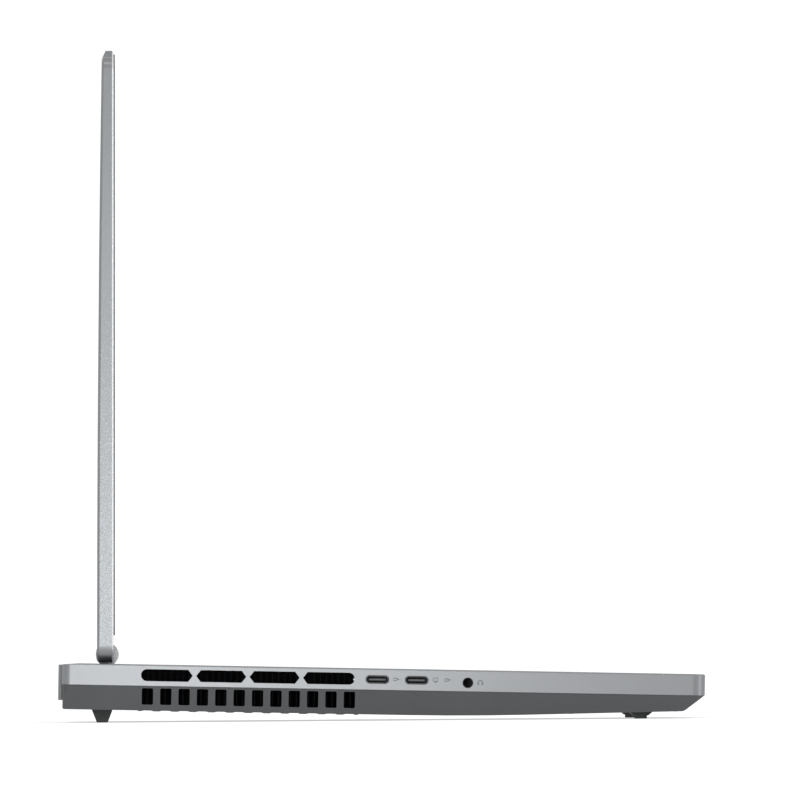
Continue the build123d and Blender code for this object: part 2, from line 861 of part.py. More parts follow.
def housing_stretch(x_range, flange_range):
    """A stretch of the rear bar: a proud flange on a hollow frame, with its ports cut through."""
    frame = (housing_foot, housing_top)
    deck_box(flange_range, (housing_rear, flange_rear), (housing_foot, flange_top))
    deck_box(x_range, (housing_front, housing_rear), frame)
    hollow_x, hollow_z = [(low + housing_wall, high - housing_wall) for low, high in (x_range, frame)]
    deck_box(hollow_x, (housing_front, housing_rear), hollow_z, Mode.SUBTRACT)
    rear = Plane(deck_plane.from_local_coords(Vector(0, flange_rear, 0)), (1, 0, 0), -deck_plane.y_dir)
    extrude(rear_ports(rear), amount=2 * flange_thickness, mode=Mode.SUBTRACT)


def make_rear_port_housing():
    """The middle of the rear bar, with one mouth for each socket."""
    with BuildPart() as rear_port_housing:
        housing_stretch((-port_half_width, port_half_width), (-port_half_width, port_half_width))
    return rear_port_housing


def make_exhaust_grilles():
    """The two ends of the rear bar, with upright louvres for the exhausts."""
    with BuildPart() as exhaust_grilles:
        for side in (-1, 1):
            x_range = span(side, port_half_width, housing_half_width)
            flange_range = span(side, port_half_width, housing_half_width + flange_overlap)
            housing_stretch(x_range, flange_range)
    return exhaust_grilles


def socket_shell(x_range, y_range, z_range, wall, open_along):
    """A box shell whose inside is open at one end: open_along is -x, +x or +y."""
    deck_box(x_range, y_range, z_range)
    ranges = [[low + wall, high - wall] for low, high in (x_range, y_range, z_range)]
    axis = "xy".index(open_along[1])
    if open_along[0] == "-":
        ranges[axis][0] -= 2 * wall
    else:
        ranges[axis][1] += 2 * wall
    deck_box(*ranges, Mode.SUBTRACT)


def centred(middle, size):
    """The range of a size about its middle."""
    return (middle - size / 2, middle + size / 2)


def make_rear_socket(x, mouth, tongue):
    """A rear socket behind the flange: a shell round its mouth, with a contact tongue inside."""
    width, height = mouth
    outer = (width + 2 * socket_wall, height + 2 * socket_wall)
    depth = (housing_rear - slip - rear_socket_depth, housing_rear - slip)
    with BuildPart() as socket:
        ranges = (centred(x, outer[0]), depth, centred(rear_port_z, outer[1]))
        socket_shell(*ranges, socket_wall, "+y")
        if tongue:
            reach = (depth[0], depth[1] - 2 * socket_wall)
            deck_box(centred(x, tongue[0]), reach, centred(rear_port_z, tongue[1]))
    return socket


def make_usb_a_sockets():
    """Two sockets at the rear and one in the right side."""
    sockets = [make_rear_socket(x, usb_a_mouth, usb_a_tongue).part for x in usb_a_rear_x]
    with BuildPart() as usb_a_sockets:
        for socket in sockets:
            add(socket)
        y, z = usb_a_side_place
        size = [length + 2 * usb_a_wall for length in usb_a_mouth]
        x_range = (inner_x - shell_gap - usb_a_depth, inner_x - shell_gap)
        socket_shell(x_range, centred(y, size[0]), centred(z, size[1]), usb_a_wall, "+x")
        reach = (x_range[0], x_range[1] - 2)
        deck_box(reach, centred(y, usb_a_tongue[0]), centred(z, usb_a_tongue[1]))
    return usb_a_sockets


def make_usb_c_sockets():
    """Two reversible sockets in the left side, each with a central tongue."""
    with BuildPart() as usb_c_sockets:
        front = side_plane.offset(shell_gap - inner_x)
        back = side_plane.offset(shell_gap - inner_x + usb_c_depth)
        for place in usb_c_places:
            extrude(stadium(front, place, usb_c_shell), amount=usb_c_depth)
            extrude(stadium(front, place, usb_c_mouth), amount=usb_c_depth - 1, mode=Mode.SUBTRACT)
            extrude(rectangle(back, place, usb_c_tongue), amount=1.5 - usb_c_depth)
    return usb_c_sockets


def make_audio_socket():
    """The headphone socket: a block with a plain bore."""
    with BuildPart() as audio_socket:
        front = side_plane.offset(shell_gap - inner_x)
        extrude(rectangle(front, jack_place, jack_body), amount=jack_depth)
        with BuildSketch(front):
            with Locations(jack_place):
                Circle(jack_bore_radius)
        extrude(amount=jack_bore_depth, mode=Mode.SUBTRACT)
    return audio_socket


def make_card_reader():
    """The memory card reader behind its slot in the right side."""
    y, z = card_place
    with BuildPart() as card_reader:
        x_range = (inner_x - shell_gap - card_depth, inner_x - shell_gap)
        deck_box(x_range, centred(y, card_body[0]), centred(z - shell_gap, card_body[1]))
        mouth = (x_range[0] + 2, x_range[1])
        deck_box(mouth, centred(y, card_slot[0]), centred(z, card_slot[1]), Mode.SUBTRACT)
    return card_reader


def make_side_boards():
    """The two small boards that carry the side sockets."""
    first, last = usb_c_places[0][0] + usb_c_hole[0], jack_place[0] - usb_c_hole[0]
    usb_c_foot = usb_c_places[0][1] - usb_c_shell[1] / 2
    usb_a_foot = usb_a_side_place[1] - usb_a_mouth[1] / 2 - usb_a_wall
    with BuildPart() as side_boards:
        x_range = (slip - inner_x, jack_depth + 2 - inner_x)
        deck_box(x_range, (last, first), (usb_c_foot - board_thickness, usb_c_foot))
        cut = centred(jack_place[0], jack_body[0] + 2 * slip)
        cut_x = (-half_width, jack_depth + slip - inner_x)
        deck_box(cut_x, cut, (usb_c_foot - 2, usb_c_foot), Mode.SUBTRACT)
        x_range = (inner_x - card_depth, inner_x - 2 * cover_wall)
        y_range = (usb_a_side_place[0] - usb_a_hole[0], card_place[0] + card_body[0] / 2)
        deck_box(x_range, y_range, (usb_a_foot - board_thickness, usb_a_foot))
        for side_x, y in screw_places:
            middle = (side_x, y, usb_a_foot)
            cylinder_in(deck_plane, middle, "z", post_radius + slip, 4 * board_thickness, Mode.SUBTRACT)
    return side_boards


# Moving controls on the base


def make_power_button():
    """A flush power button with a retaining lip under the deck."""
    with BuildPart() as power_button:
        top = deck_level(-slip)
        rounded_slab(top, (0, power_y), (power_width, power_depth), power_depth / 2.1, button_height)
        lip = (power_width + 2 * button_lip, power_depth + 2 * button_lip)
        lip_top = deck_level(-slip - button_height + button_lip_height)
        rounded_slab(lip_top, (0, power_y), lip, power_depth / 2, button_lip_height)
    return power_button


def make_shutter_switch():
    """The sliding switch in the right side, with a guide plate behind the wall."""
    with BuildPart() as shutter_switch:
        outer = (inner_x - button_gap, half_width - slip)
        deck_box(outer, centred(shutter_y, shutter_knob), centred(shutter_z, shutter_height))
        guide_x = (inner_x - button_gap - 1, inner_x - button_gap)
        guide = centred(shutter_y, shutter_knob + 2 * shutter_lip)
        deck_box(guide_x, guide, centred(shutter_z, shutter_height + shutter_lip))
    return shutter_switch


def make_touchpad():
    """The glass pad with its board underneath."""
    with BuildPart() as touchpad:
        top = deck_level(-pad_below_deck)
        rounded_slab(top, (pad_x, pad_y), (pad_width, pad_depth), pad_corner, pad_thickness)
        board = (pad_width - 2 * pad_board_inset, pad_depth - 2 * pad_board_inset)
        rounded_slab(top.offset(-pad_thickness), (pad_x, pad_y), board, pad_corner, pad_board)
    return touchpad


def make_touchpad_tray():
    """The steel tray that hangs under the deck round the touchpad."""
    with BuildPart() as touchpad_tray:
        top = deck_level(-deck_wall)
        outer = (pad_width + 4 * grid_lap, pad_depth + 4 * grid_lap)
        inner = (pad_width + 2 * grid_lap, pad_depth + 2 * grid_lap)
        depth = tray_depth + tray_thickness - deck_wall
        rounded_slab(top, (pad_x, pad_y), outer, pad_corner, depth)
        rounded_slab(top, (pad_x, pad_y), inner, pad_corner, tray_depth - deck_wall, Mode.SUBTRACT)
    return touchpad_tray


# Inside the base


def fin_stack(outline, plane, first, last):
    """Thin fins of one outline, spaced along the plane's normal."""
    count = int((last - first) / fin_pitch) + 1
    for index in range(count):
        with BuildSketch(plane.offset(first + index * fin_pitch)) as fin:
            with BuildLine():
                Polyline(*outline, close=True)
            make_face()
        extrude(fin.sketch, amount=fin_thickness)


def make_side_fins(side):
    """Heat fins behind one side's vent and windows, on a base strip, with a duct wall behind."""
    outer, upper, lower = side_fin_x, side_fin_x - side_fin_upper, side_fin_x - side_fin_lower
    top, step = -deck_wall - slip, -plate_depth - side_fin_step
    foot = cover_wall + fin_foot_rise - base_thickness
    outline = [(outer, top), (outer, foot), (lower, foot), (lower, step), (upper, step), (upper, top)]
    if side < 0:
        outline = [(-x, z) for x, z in outline]
    with BuildPart() as side_fins:
        plane = Plane(deck_plane.origin, (1, 0, 0), -deck_plane.y_dir)
        fin_stack(outline, plane, -vent_first_y, -vent_last_y)
        strip_y = (vent_last_y + fin_thickness, vent_first_y)
        deck_box(span(side, lower, outer), strip_y, (foot - fin_strip, foot))
        deck_box(span(side, lower - duct_wall, lower), strip_y, (foot - fin_strip, step))
        deck_box(span(side, lower - duct_wall, upper), strip_y, (step, step + duct_wall))
        deck_box(span(side, upper - duct_wall, upper), strip_y, (step, top))
    return side_fins


def make_rear_fins():
    """Heat fins behind the rear louvres, under the heat pipes."""
    top, foot = -deck_wall - slip - 1.5, fan_floor
    upper, lower = rear_fin_y - rear_fin_upper, rear_fin_y - rear_fin_lower
    rear = housing_front - slip
    shape = [(rear, top), (rear, foot), (lower, foot), (lower, pipe_foot), (upper, pipe_foot), (upper, top)]
    with BuildPart() as rear_fins:
        for side in (-1, 1):
            fin_stack(shape, side_plane, *span(side, louvre_first_x, louvre_last_x))
            strip = span(side, louvre_first_x, louvre_last_x)
            deck_box(strip, (lower, rear), (foot - fin_strip, foot))
    return rear_fins


def make_heat_pipes():
    """Two flattened pipes that run from the heat spreader to the rear fins."""
    with BuildPart() as heat_pipes:
        for side in (-1, 1):
            pipe_y = rear_fin_y - rear_fin_lower + pipe_width / 2 + 1
            with BuildSketch(deck_level(pipe_foot)) as run:
                with BuildLine() as route:
                    FilletPolyline(
                        (side * pipe_start[0], pipe_start[1]),
                        (side * pipe_elbow_x[0], pipe_start[1]),
                        (side * pipe_elbow_x[1], pipe_y),
                        (side * (louvre_last_x - pipe_end), pipe_y),
                        radius=pipe_bend,
                    )
                    offset(amount=pipe_width / 2, side=Side.BOTH)
                make_face()
            extrude(run.sketch, amount=pipe_height)
    return heat_pipes


def make_heat_spreader():
    """The plate that lies on the processor chips under the heat pipes."""
    with BuildPart() as heat_spreader:
        width, depth = spreader_size
        thickness = (pipe_foot - spreader_thickness, pipe_foot)
        deck_box(centred(0, width), centred(pipe_start[1], depth), thickness)
    return heat_spreader


def make_processor_chips():
    """The two main chips between the board and the heat spreader."""
    with BuildPart() as processor_chips:
        for x in (-chip_x, chip_x):
            height = (board_top, pipe_foot - spreader_thickness)
            deck_box(centred(x, chip_size), centred(pipe_start[1], chip_size), height)
    return processor_chips


def make_fan_housing(side):
    """A flat blower housing with an inlet above, an outlet at the rear and an axle."""
    with BuildPart() as fan_housing:
        x_range, y_range = centred(side * fan_x, fan_size), centred(fan_y, fan_size)
        deck_box(x_range, y_range, (fan_floor, fan_top))
        centre = (side * fan_x, fan_y, (fan_floor + fan_top) / 2)
        chamber = fan_height - 2 * fan_wall
        cylinder_in(deck_plane, centre, "z", fan_chamber_radius, chamber, Mode.SUBTRACT)
        inside = (fan_floor + fan_wall, fan_top - fan_wall)
        outlet_x = centred(side * fan_x, 2 * fan_chamber_radius - 6)
        deck_box(outlet_x, (fan_y, fan_y + fan_size), inside, Mode.SUBTRACT)
        mouth = (side * fan_x, fan_y, fan_top)
        cylinder_in(deck_plane, mouth, "z", fan_mouth_radius, 2 * fan_wall, Mode.SUBTRACT)
        axle = (side * fan_x, fan_y, fan_floor + fan_height / 2 - fan_wall)
        cylinder_in(deck_plane, axle, "z", axle_radius, fan_height - 2 * fan_wall)
    return fan_housing


def make_impeller(side):
    """A blower wheel with thin curved-back blades, turning on the housing's axle."""
    middle_z = (fan_floor + fan_top) / 2
    centre = deck_plane.from_local_coords(Vector(side * fan_x, fan_y, middle_z))
    hub_plane = Plane(centre, deck_plane.x_dir, deck_plane.z_dir)
    blade_start, blade_length = impeller_hub - 1, impeller_radius - impeller_hub + 1
    with BuildPart() as impeller:
        cylinder_in(hub_plane, (0, 0, 0), "z", impeller_hub, impeller_height)
        with BuildSketch(hub_plane.offset(-impeller_height / 2)) as blades:
            with PolarLocations(blade_start, impeller_blades):
                Rectangle(blade_length, 0.7, rotation=side * 12, align=(Align.MIN, Align.CENTER))
        extrude(blades.sketch, amount=impeller_height - 1)
        bore = axle_radius + pin_clearance
        cylinder_in(hub_plane, (0, 0, 0), "z", bore, 2 * impeller_height, Mode.SUBTRACT)
    return impeller


def make_mainboard():
    """The main board, cut round the network socket and the middle screw posts."""
    with BuildPart() as mainboard:
        deck_box((-board_half_width, board_half_width), (board_front, board_rear), (board_foot, board_top))
        cut = centred(network_x, network_mouth[0] + 2 * socket_wall + 2 * slip)
        cut_y = (housing_rear - rear_socket_depth - 2 * slip, board_rear)
        deck_box(cut, cut_y, (board_foot, board_top), Mode.SUBTRACT)
        for side in (-1, 1):
            x, y = screw_places[-1]
            middle = (side * x, y, board_top)
            cylinder_in(deck_plane, middle, "z", post_radius + slip, 4 * board_thickness, Mode.SUBTRACT)
    return mainboard


def make_expansion_cards():
    """The solid state drive and the wireless card, lying on the main board."""
    with BuildPart() as expansion_cards:
        for (x, y), (width, depth, height) in ((drive_place, drive_size), (radio_place, radio_size)):
            deck_box(centred(x, width), centred(y, depth), (board_top, board_top + height))
    return expansion_cards


def make_memory_modules():
    """Two memory modules in their sockets, side by side on the main board."""
    with BuildPart() as memory_modules:
        for y in memory_ys:
            deck_box(memory_x, centred(y, memory_depth), (board_top, board_top + memory_height))
    return memory_modules


def make_battery_pack():
    """Four flat cells in a tray that lies on the inside of the belly."""
    with BuildPart() as battery_pack:
        y_range = (-battery_depth - 2, -2)
        box_in(belly_plane, (-battery_half_width, battery_half_width), y_range, (0, 1))
        cell_width = (2 * battery_half_width - 5 * cell_gap) / 4
        for index in range(4):
            start = -battery_half_width + cell_gap + index * (cell_width + cell_gap)
            cell_y = (y_range[0] + cell_gap, y_range[1] - cell_gap)
            box_in(belly_plane, (start, start + cell_width), cell_y, (1, battery_height))
    return battery_pack


def make_speakers():
    """The two speaker boxes in the front corners, each with a round driver below."""
    width, depth, height = speaker_size
    with BuildPart() as speakers:
        for side in (-1, 1):
            x_range = span(side, battery_half_width + speaker_gap, battery_half_width + speaker_gap + width)
            y = grille_y - belly_turn_y + depth / 4
            box_in(belly_plane, x_range, centred(y, depth), (0, height))
    return speakers


# Hinges


def make_hinge_bracket(side):
    """The fixed half of a hinge: a plate under the deck, a stem and a bored knuckle."""
    with BuildPart() as hinge_bracket:
        x_range = span(side, knuckle_start_x, knuckle_end_x)
        hinge_cylinder(x_range, knuckle_radius)
        stem_y = centred(hinge_y, stem_depth)
        deck_box(x_range, stem_y, (bracket_top - bracket_plate, hinge_rise))
        near, far = knuckle_start_x - bracket_overhang, knuckle_end_x + bracket_overhang
        plate_y = centred(hinge_y, stem_depth + 4)
        deck_box(span(side, near, far), plate_y, (bracket_top - bracket_plate, bracket_top))
        hinge_cylinder(x_range, pin_radius + pin_clearance, Mode.SUBTRACT)
    return hinge_bracket


def make_hinge_arm(side):
    """The moving half of a hinge: two knuckles and a plate that rises inside the lid."""
    with BuildPart() as hinge_arm:
        inner = (hinge_start_x + 2, knuckle_start_x - knuckle_gap)
        outer = (knuckle_end_x + knuckle_gap, hinge_end_x - 2)
        back = -pin_radius - arm_thickness / 2 + slip
        plate_t = (back, back + arm_thickness)
        for near, far in (inner, outer):
            hinge_cylinder(span(side, near, far), arm_knuckle)
            lid_box(span(side, near + 1, far - 2), (0, notch_top + arm_thickness), plate_t)
        plate_h = (notch_top + lid_rim_wall + slip, arm_height)
        lid_box(span(side, inner[0] + 1, outer[1] - 2), plate_h, plate_t)
        hinge_cylinder(span(side, inner[0], outer[1]), pin_radius, Mode.SUBTRACT)
    return hinge_arm


def make_hinge_pins():
    """The steel pins, pressed into the arms and turning in the brackets."""
    with BuildPart() as hinge_pins:
        for side in (-1, 1):
            hinge_cylinder(span(side, hinge_start_x + 2, hinge_end_x - 2), pin_radius)
    return hinge_pins


def make_hinge_caps():
    """The barrel covers on the lid's lower edge, either side of each fixed knuckle."""
    with BuildPart() as hinge_caps:
        for side in (-1, 1):
            inner = (hinge_start_x + slip, knuckle_start_x - knuckle_gap)
            outer = (knuckle_end_x + knuckle_gap, hinge_end_x - slip)
            for near, far in (inner, outer):
                x_range = span(side, near, far)
                hinge_cylinder(x_range, barrel_radius)
                lid_box(x_range, (0, notch_top - slip), (-lid_back, lid_front))
                behind = (-2 * barrel_radius, -barrel_back)
                lid_box(x_range, (-barrel_radius, barrel_radius), behind, Mode.SUBTRACT)
            bore_x = span(side, inner[0] + lid_rim_wall, outer[1] - lid_rim_wall)
            hinge_cylinder(bore_x, arm_knuckle + slip, Mode.SUBTRACT)
            leg_t = (-pin_radius - arm_thickness, 0)
            lid_box(bore_x, (0, notch_top), leg_t, Mode.SUBTRACT)
    return hinge_caps


# Lid


def lid_outline(plane, inset, bottom=lid_bottom):
    """The lid with its camera bump seen from the front, taken in by inset all round."""
    half, top = lid_width / 2 - inset, lid_top - inset
    low = bottom + inset
    bump_top, bump_half = top + bump_height, bump_width / 2 - inset
    foot_half = bump_half + bump_slope
    points = [
        (-half, low),
        (half, low),
        (half, top),
        (foot_half, top),
        (bump_half, bump_top),
        (-bump_half, bump_top),
        (-foot_half, top),
        (-half, top),
    ]
    radii = [lid_bottom_corner, lid_bottom_corner, lid_top_corner, *[bump_corner] * 4, lid_top_corner]
    with BuildSketch(plane) as outline:
        with BuildLine():
            FilletPolyline(*points, radius=[max(radius - inset, 0.5) for radius in radii], close=True)
        make_face()
    return outline.sketch


def crown_cut(wall):
    """Remove what lies behind the lid's crowned back, with the back moved forward by wall."""
    start = (lid_crown_start, wall - lid_back)
    with BuildSketch(lid_side_plane) as behind:
        with BuildLine():
            Line((2 * lid_bottom, start[1]), start)
            TangentArc(start, (lid_top + bump_height, wall - lid_back_top), tangent=(1, 0))
            corner = (lid_top + bump_height, -3 * lid_back)
            Polyline((corner[0], start[1] + lid_back - lid_back_top), corner)
            Polyline(corner, (2 * lid_bottom, corner[1]), (2 * lid_bottom, start[1]))
        make_face()
    extrude(behind.sketch, amount=lid_width, both=True, mode=Mode.SUBTRACT)


def make_lid_block(inset, wall):
    """The lid's outside taken in by inset round its edge and by wall at its crowned back."""
    with BuildPart() as block:
        extrude(lid_outline(lid_plane.offset(-lid_back), inset), amount=lid_back + lid_front)
        crown_cut(wall)
    return block.part


def lid_back_edges(piece):
    """The edges round the lid's back, apart from the one where its crown starts."""
    backs = piece.faces().filter_by(lambda face: face.normal_at().dot(lid_plane.z_dir) < -0.9)
    edges = [edge for face in backs for edge in face.edges()]
    heights = [lid_plane.to_local_coords(edge.center()).Y for edge in edges]
    return [edge for edge, height in zip(edges, heights) if abs(height - lid_crown_start) > slip]


def cut_hinge_notches():
    """Cut the lid's lower edge away round both hinges."""
    for side in (-1, 1):
        notch = span(side, hinge_start_x, hinge_end_x)
        lid_box(notch, (2 * lid_bottom, notch_top), (-2 * lid_back, 2 * lid_front), Mode.SUBTRACT)


def make_lid_cover():
    """The metal lid shell: crowned back, bright rim, camera bump and hinge notches."""
    outside = make_lid_block(0, 0)
    inside = make_lid_block(lid_rim_wall, lid_shell_wall)
    with BuildPart() as lid_cover:
        add(outside)
        fillet(lid_back_edges(lid_cover), lid_edge_round)
        chamfer(crown_face_edges(lid_cover, lid_plane.z_dir), lid_rim_chamfer)
        add(inside, mode=Mode.SUBTRACT)
        for side in (-1, 1):
            block = span(side, hinge_start_x - lid_rim_wall, hinge_end_x + lid_rim_wall)
            rise = (lid_bottom + lid_rim_wall / 2, notch_top + lid_rim_wall)
            lid_box(block, rise, (lid_shell_wall / 2 - lid_back, panel_front))
        cut_hinge_notches()
        for side in (-1, 1):
            slot_t = (-pin_radius - arm_thickness, 0)
            slot_h = (notch_top - slip, notch_top + 2 * lid_rim_wall)
            for near, far in ((hinge_start_x, knuckle_start_x), (knuckle_end_x, hinge_end_x)):
                lid_box(span(side, near + 1, far - 1), slot_h, slot_t, Mode.SUBTRACT)
        top = lid_top + bump_height
        with BuildSketch(lid_side_plane) as bevel:
            with BuildLine():
                back = -lid_back_top
                Polyline(
                    (top - bevel_height, back),
                    (top, back + bevel_depth),
                    (top + 1, back - 1),
                    (top - bevel_height, back - 1),
                    close=True,
                )
            make_face()
        extrude(bevel.sketch, amount=bump_width, both=True, mode=Mode.SUBTRACT)
    return lid_cover


def make_screen_bezel():
    """The black frame round the screen, let into the lid's rim."""
    with BuildPart() as screen_bezel:
        back = lid_plane.offset(panel_front)
        extrude(lid_outline(back, lid_rim_wall + bezel_fit), amount=bezel_thickness)
        screen_h = (screen_bottom, screen_bottom + screen_height)
        window_t = (panel_front - 1, lid_front + 1)
        lid_box(centred(0, screen_width), screen_h, window_t, Mode.SUBTRACT)
        cut_hinge_notches()
        for x, radius in camera_holes.items():
            middle = (x, camera_height, lid_front)
            cylinder_in(lid_plane, middle, "z", radius, 4 * bezel_thickness, Mode.SUBTRACT)
    return screen_bezel


def make_screen_panel():
    """The display panel behind the bezel."""
    with BuildPart() as screen_panel:
        rise = (screen_bottom - panel_foot, screen_bottom + screen_height + panel_border)
        width = screen_width + 2 * panel_border
        lid_box(centred(0, width), rise, (panel_front - panel_thickness, panel_front))
    return screen_panel


def make_screen_gasket():
    """The soft ring on the bezel that meets the deck when the lid is shut."""
    with BuildPart() as screen_gasket:
        plane = lid_plane.offset(lid_front)
        ring_bottom = gasket_bottom - gasket_inset
        extrude(lid_outline(plane, gasket_inset, ring_bottom), amount=gasket_rise)
        inner = gasket_inset + gasket_width
        extrude(lid_outline(plane, inner, ring_bottom), amount=gasket_rise, mode=Mode.SUBTRACT)
    return screen_gasket


def make_camera_module():
    """The camera strip behind the bezel, with its lens and two microphones."""
    with BuildPart() as camera_module:
        rise = centred(camera_height, camera_board_height)
        lid_box(centred(0, camera_board_width), rise, (panel_front - camera_board, panel_front - slip))
        for x, radius in camera_holes.items():
            middle = (x, camera_height, panel_front + slip)
            cylinder_in(lid_plane, middle, "z", radius - slip, 4 * slip)
    return camera_module


def make_antennas():
    """The two wireless antennas in the lid's top edge."""
    with BuildPart() as antennas:
        for side in (-1, 1):
            rise = (lid_top - lid_rim_wall - 5, lid_top - lid_rim_wall - slip)
            lid_box(span(side, 70, 120), rise, (panel_front - panel_thickness, panel_front - slip))
    return antennas


os.makedirs("parts", exist_ok=True)

for group, cells in key_groups.items():
    write(make_keys(cells), group)
write(make_keyboard_grid(), "keyboard_grid")
write(make_keyboard_plate(), "keyboard_plate")
write(make_deck_cover(), "deck_cover")
write(make_screw_posts(), "screw_posts")
write(make_bottom_cover(), "bottom_cover")
write(make_cover_screws(), "cover_screws")
write(make_intake_mesh(), "intake_mesh")
write(make_rear_foot(), "rear_foot")
write(make_front_feet(), "front_feet")
write(make_rear_port_housing(), "rear_port_housing")
write(make_exhaust_grilles(), "exhaust_grilles")
write(make_rear_socket(power_x, power_mouth, None), "power_socket")
write(make_rear_socket(network_x, network_mouth, None), "network_socket")
write(make_rear_socket(video_x, video_mouth, video_tongue), "video_socket")
write(make_usb_a_sockets(), "usb_a_sockets")
write(make_usb_c_sockets(), "usb_c_sockets")
write(make_audio_socket(), "audio_socket")
write(make_card_reader(), "card_reader")
write(make_side_boards(), "side_boards")
write(make_power_button(), "power_button")
write(make_shutter_switch(), "shutter_switch")
write(make_touchpad(), "touchpad")
write(make_touchpad_tray(), "touchpad_tray")
for side_name, side in (("left", -1), ("right", 1)):
    write(make_side_fins(side), f"{side_name}_side_fins")
    write(make_fan_housing(side), f"{side_name}_fan_housing")
    write(make_impeller(side), f"{side_name}_impeller")
    write(make_hinge_bracket(side), f"{side_name}_hinge_bracket")
    write(make_hinge_arm(side), f"{side_name}_hinge_arm")
write(make_rear_fins(), "rear_fins")
write(make_heat_pipes(), "heat_pipes")
write(make_heat_spreader(), "heat_spreader")
write(make_processor_chips(), "processor_chips")
write(make_mainboard(), "mainboard")
write(make_memory_modules(), "memory_modules")
write(make_expansion_cards(), "expansion_cards")
write(make_battery_pack(), "battery_pack")
write(make_speakers(), "speakers")
write(make_hinge_pins(), "hinge_pins")
write(make_hinge_caps(), "hinge_caps")
write(make_lid_cover(), "lid_cover")
write(make_screen_bezel(), "screen_bezel")
write(make_screen_panel(), "screen_panel")
write(make_screen_gasket(), "screen_gasket")
write(make_camera_module(), "camera_module")
write(make_antennas(), "antennas")
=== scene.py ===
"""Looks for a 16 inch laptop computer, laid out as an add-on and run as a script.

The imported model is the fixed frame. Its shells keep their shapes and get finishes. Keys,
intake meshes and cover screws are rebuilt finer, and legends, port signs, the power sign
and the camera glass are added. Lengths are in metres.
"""

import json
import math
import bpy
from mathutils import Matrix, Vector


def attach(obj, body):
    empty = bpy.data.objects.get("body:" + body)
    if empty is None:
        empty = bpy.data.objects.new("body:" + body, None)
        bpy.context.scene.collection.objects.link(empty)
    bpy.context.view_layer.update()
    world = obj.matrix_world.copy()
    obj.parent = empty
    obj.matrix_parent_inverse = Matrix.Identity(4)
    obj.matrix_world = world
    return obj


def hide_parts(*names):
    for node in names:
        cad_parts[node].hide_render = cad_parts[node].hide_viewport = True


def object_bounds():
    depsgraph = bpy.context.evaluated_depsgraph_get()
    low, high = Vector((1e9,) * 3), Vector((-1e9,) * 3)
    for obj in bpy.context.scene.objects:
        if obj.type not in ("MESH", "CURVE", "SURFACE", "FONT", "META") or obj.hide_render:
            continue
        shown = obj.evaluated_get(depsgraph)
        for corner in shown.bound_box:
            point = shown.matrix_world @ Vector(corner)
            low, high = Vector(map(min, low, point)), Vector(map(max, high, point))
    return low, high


bl_info = {
    "name": "Laptop Computer Finisher",
    "version": (1, 0, 0),
    "blender": (4, 5, 0),
    "location": "View3D > Sidebar > Laptop",
    "description": "Finishes and fine pieces for a laptop computer",
    "category": "Object",
}

import bmesh
import bpy
from bpy.props import FloatProperty, FloatVectorProperty, IntProperty, PointerProperty
from mathutils import Matrix, Vector

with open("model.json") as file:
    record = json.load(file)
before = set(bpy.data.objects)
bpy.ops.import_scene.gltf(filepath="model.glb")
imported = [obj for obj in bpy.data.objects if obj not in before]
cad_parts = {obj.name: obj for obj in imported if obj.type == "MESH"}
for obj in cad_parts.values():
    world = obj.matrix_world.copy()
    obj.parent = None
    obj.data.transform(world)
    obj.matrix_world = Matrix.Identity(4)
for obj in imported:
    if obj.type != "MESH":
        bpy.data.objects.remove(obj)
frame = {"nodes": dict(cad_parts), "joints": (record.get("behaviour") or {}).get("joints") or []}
cad_lowest, cad_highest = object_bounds()

MM = 0.001


def linear(hex_colour):
    """An sRGB hex colour as linear red, green, blue and alpha."""
    values = [int(hex_colour[i : i + 2], 16) / 255 for i in (1, 3, 5)]
    return (*[v / 12.92 if v <= 0.04045 else ((v + 0.055) / 1.055) ** 2.4 for v in values], 1.0)


# Frames of the deck and the lid, from the joints

joints = {joint["name"]: joint for joint in frame["joints"]}
hinge_point = Vector(joints["lid_hinge"]["pos_m"])
deck_normal = -Vector(joints["space_bar_press"]["axis"]).normalized()
HINGE_RISE = 3.8 * MM
LID_LEAN = math.radians(0.42)
LID_FRONT = 2.6 * MM
SIDE_X = cad_lowest.x


def frame_matrix(origin, up):
    """A frame with X along the hinge and Z along up."""
    x_dir = Vector((1, 0, 0))
    y_dir = up.cross(x_dir).normalized()
    matrix = Matrix((x_dir, y_dir, up)).transposed().to_4x4()
    return Matrix.Translation(origin) @ matrix


deck_matrix = frame_matrix(hinge_point - HINGE_RISE * deck_normal, deck_normal)
lid_normal = Vector((0, -math.cos(LID_LEAN), -math.sin(LID_LEAN)))
lid_matrix = frame_matrix(hinge_point, lid_normal)


# Settings


class LaptopSizes(bpy.types.PropertyGroup):
    """Sizes of the fine pieces."""

    key_round: FloatProperty(
        name="Key Edge Radius",
        description="Rounding of the key caps' edges",
        default=0.28 * MM,
        unit="LENGTH",
        precision=5,
    )
    letter_height: FloatProperty(
        name="Letter Height",
        description="Type size of single letters on the keys",
        default=4.6 * MM,
        unit="LENGTH",
        precision=5,
    )
    word_height: FloatProperty(
        name="Word Height",
        description="Type size of words on the keys",
        default=2.7 * MM,
        unit="LENGTH",
        precision=5,
    )
    legend_margin: FloatProperty(
        name="Legend Margin",
        description="Space between a legend and its key's edge",
        default=2.1 * MM,
        unit="LENGTH",
        precision=5,
    )
    mesh_pitch: FloatProperty(
        name="Mesh Pitch",
        description="Distance between neighbouring cells of the intake mesh",
        default=3.4 * MM,
        unit="LENGTH",
        precision=5,
    )
    mesh_bar: FloatProperty(
        name="Mesh Bar",
        description="Width of the bars of the intake mesh",
        default=0.8 * MM,
        unit="LENGTH",
        precision=5,
    )
    screw_sides: IntProperty(
        name="Screw Drive Sides",
        description="Number of sides of the screws' sockets",
        default=6,
        min=4,
    )
    line_width: FloatProperty(
        name="Sign Line Width",
        description="Line width of the signs beside the ports",
        default=0.34 * MM,
        unit="LENGTH",
        precision=5,
    )


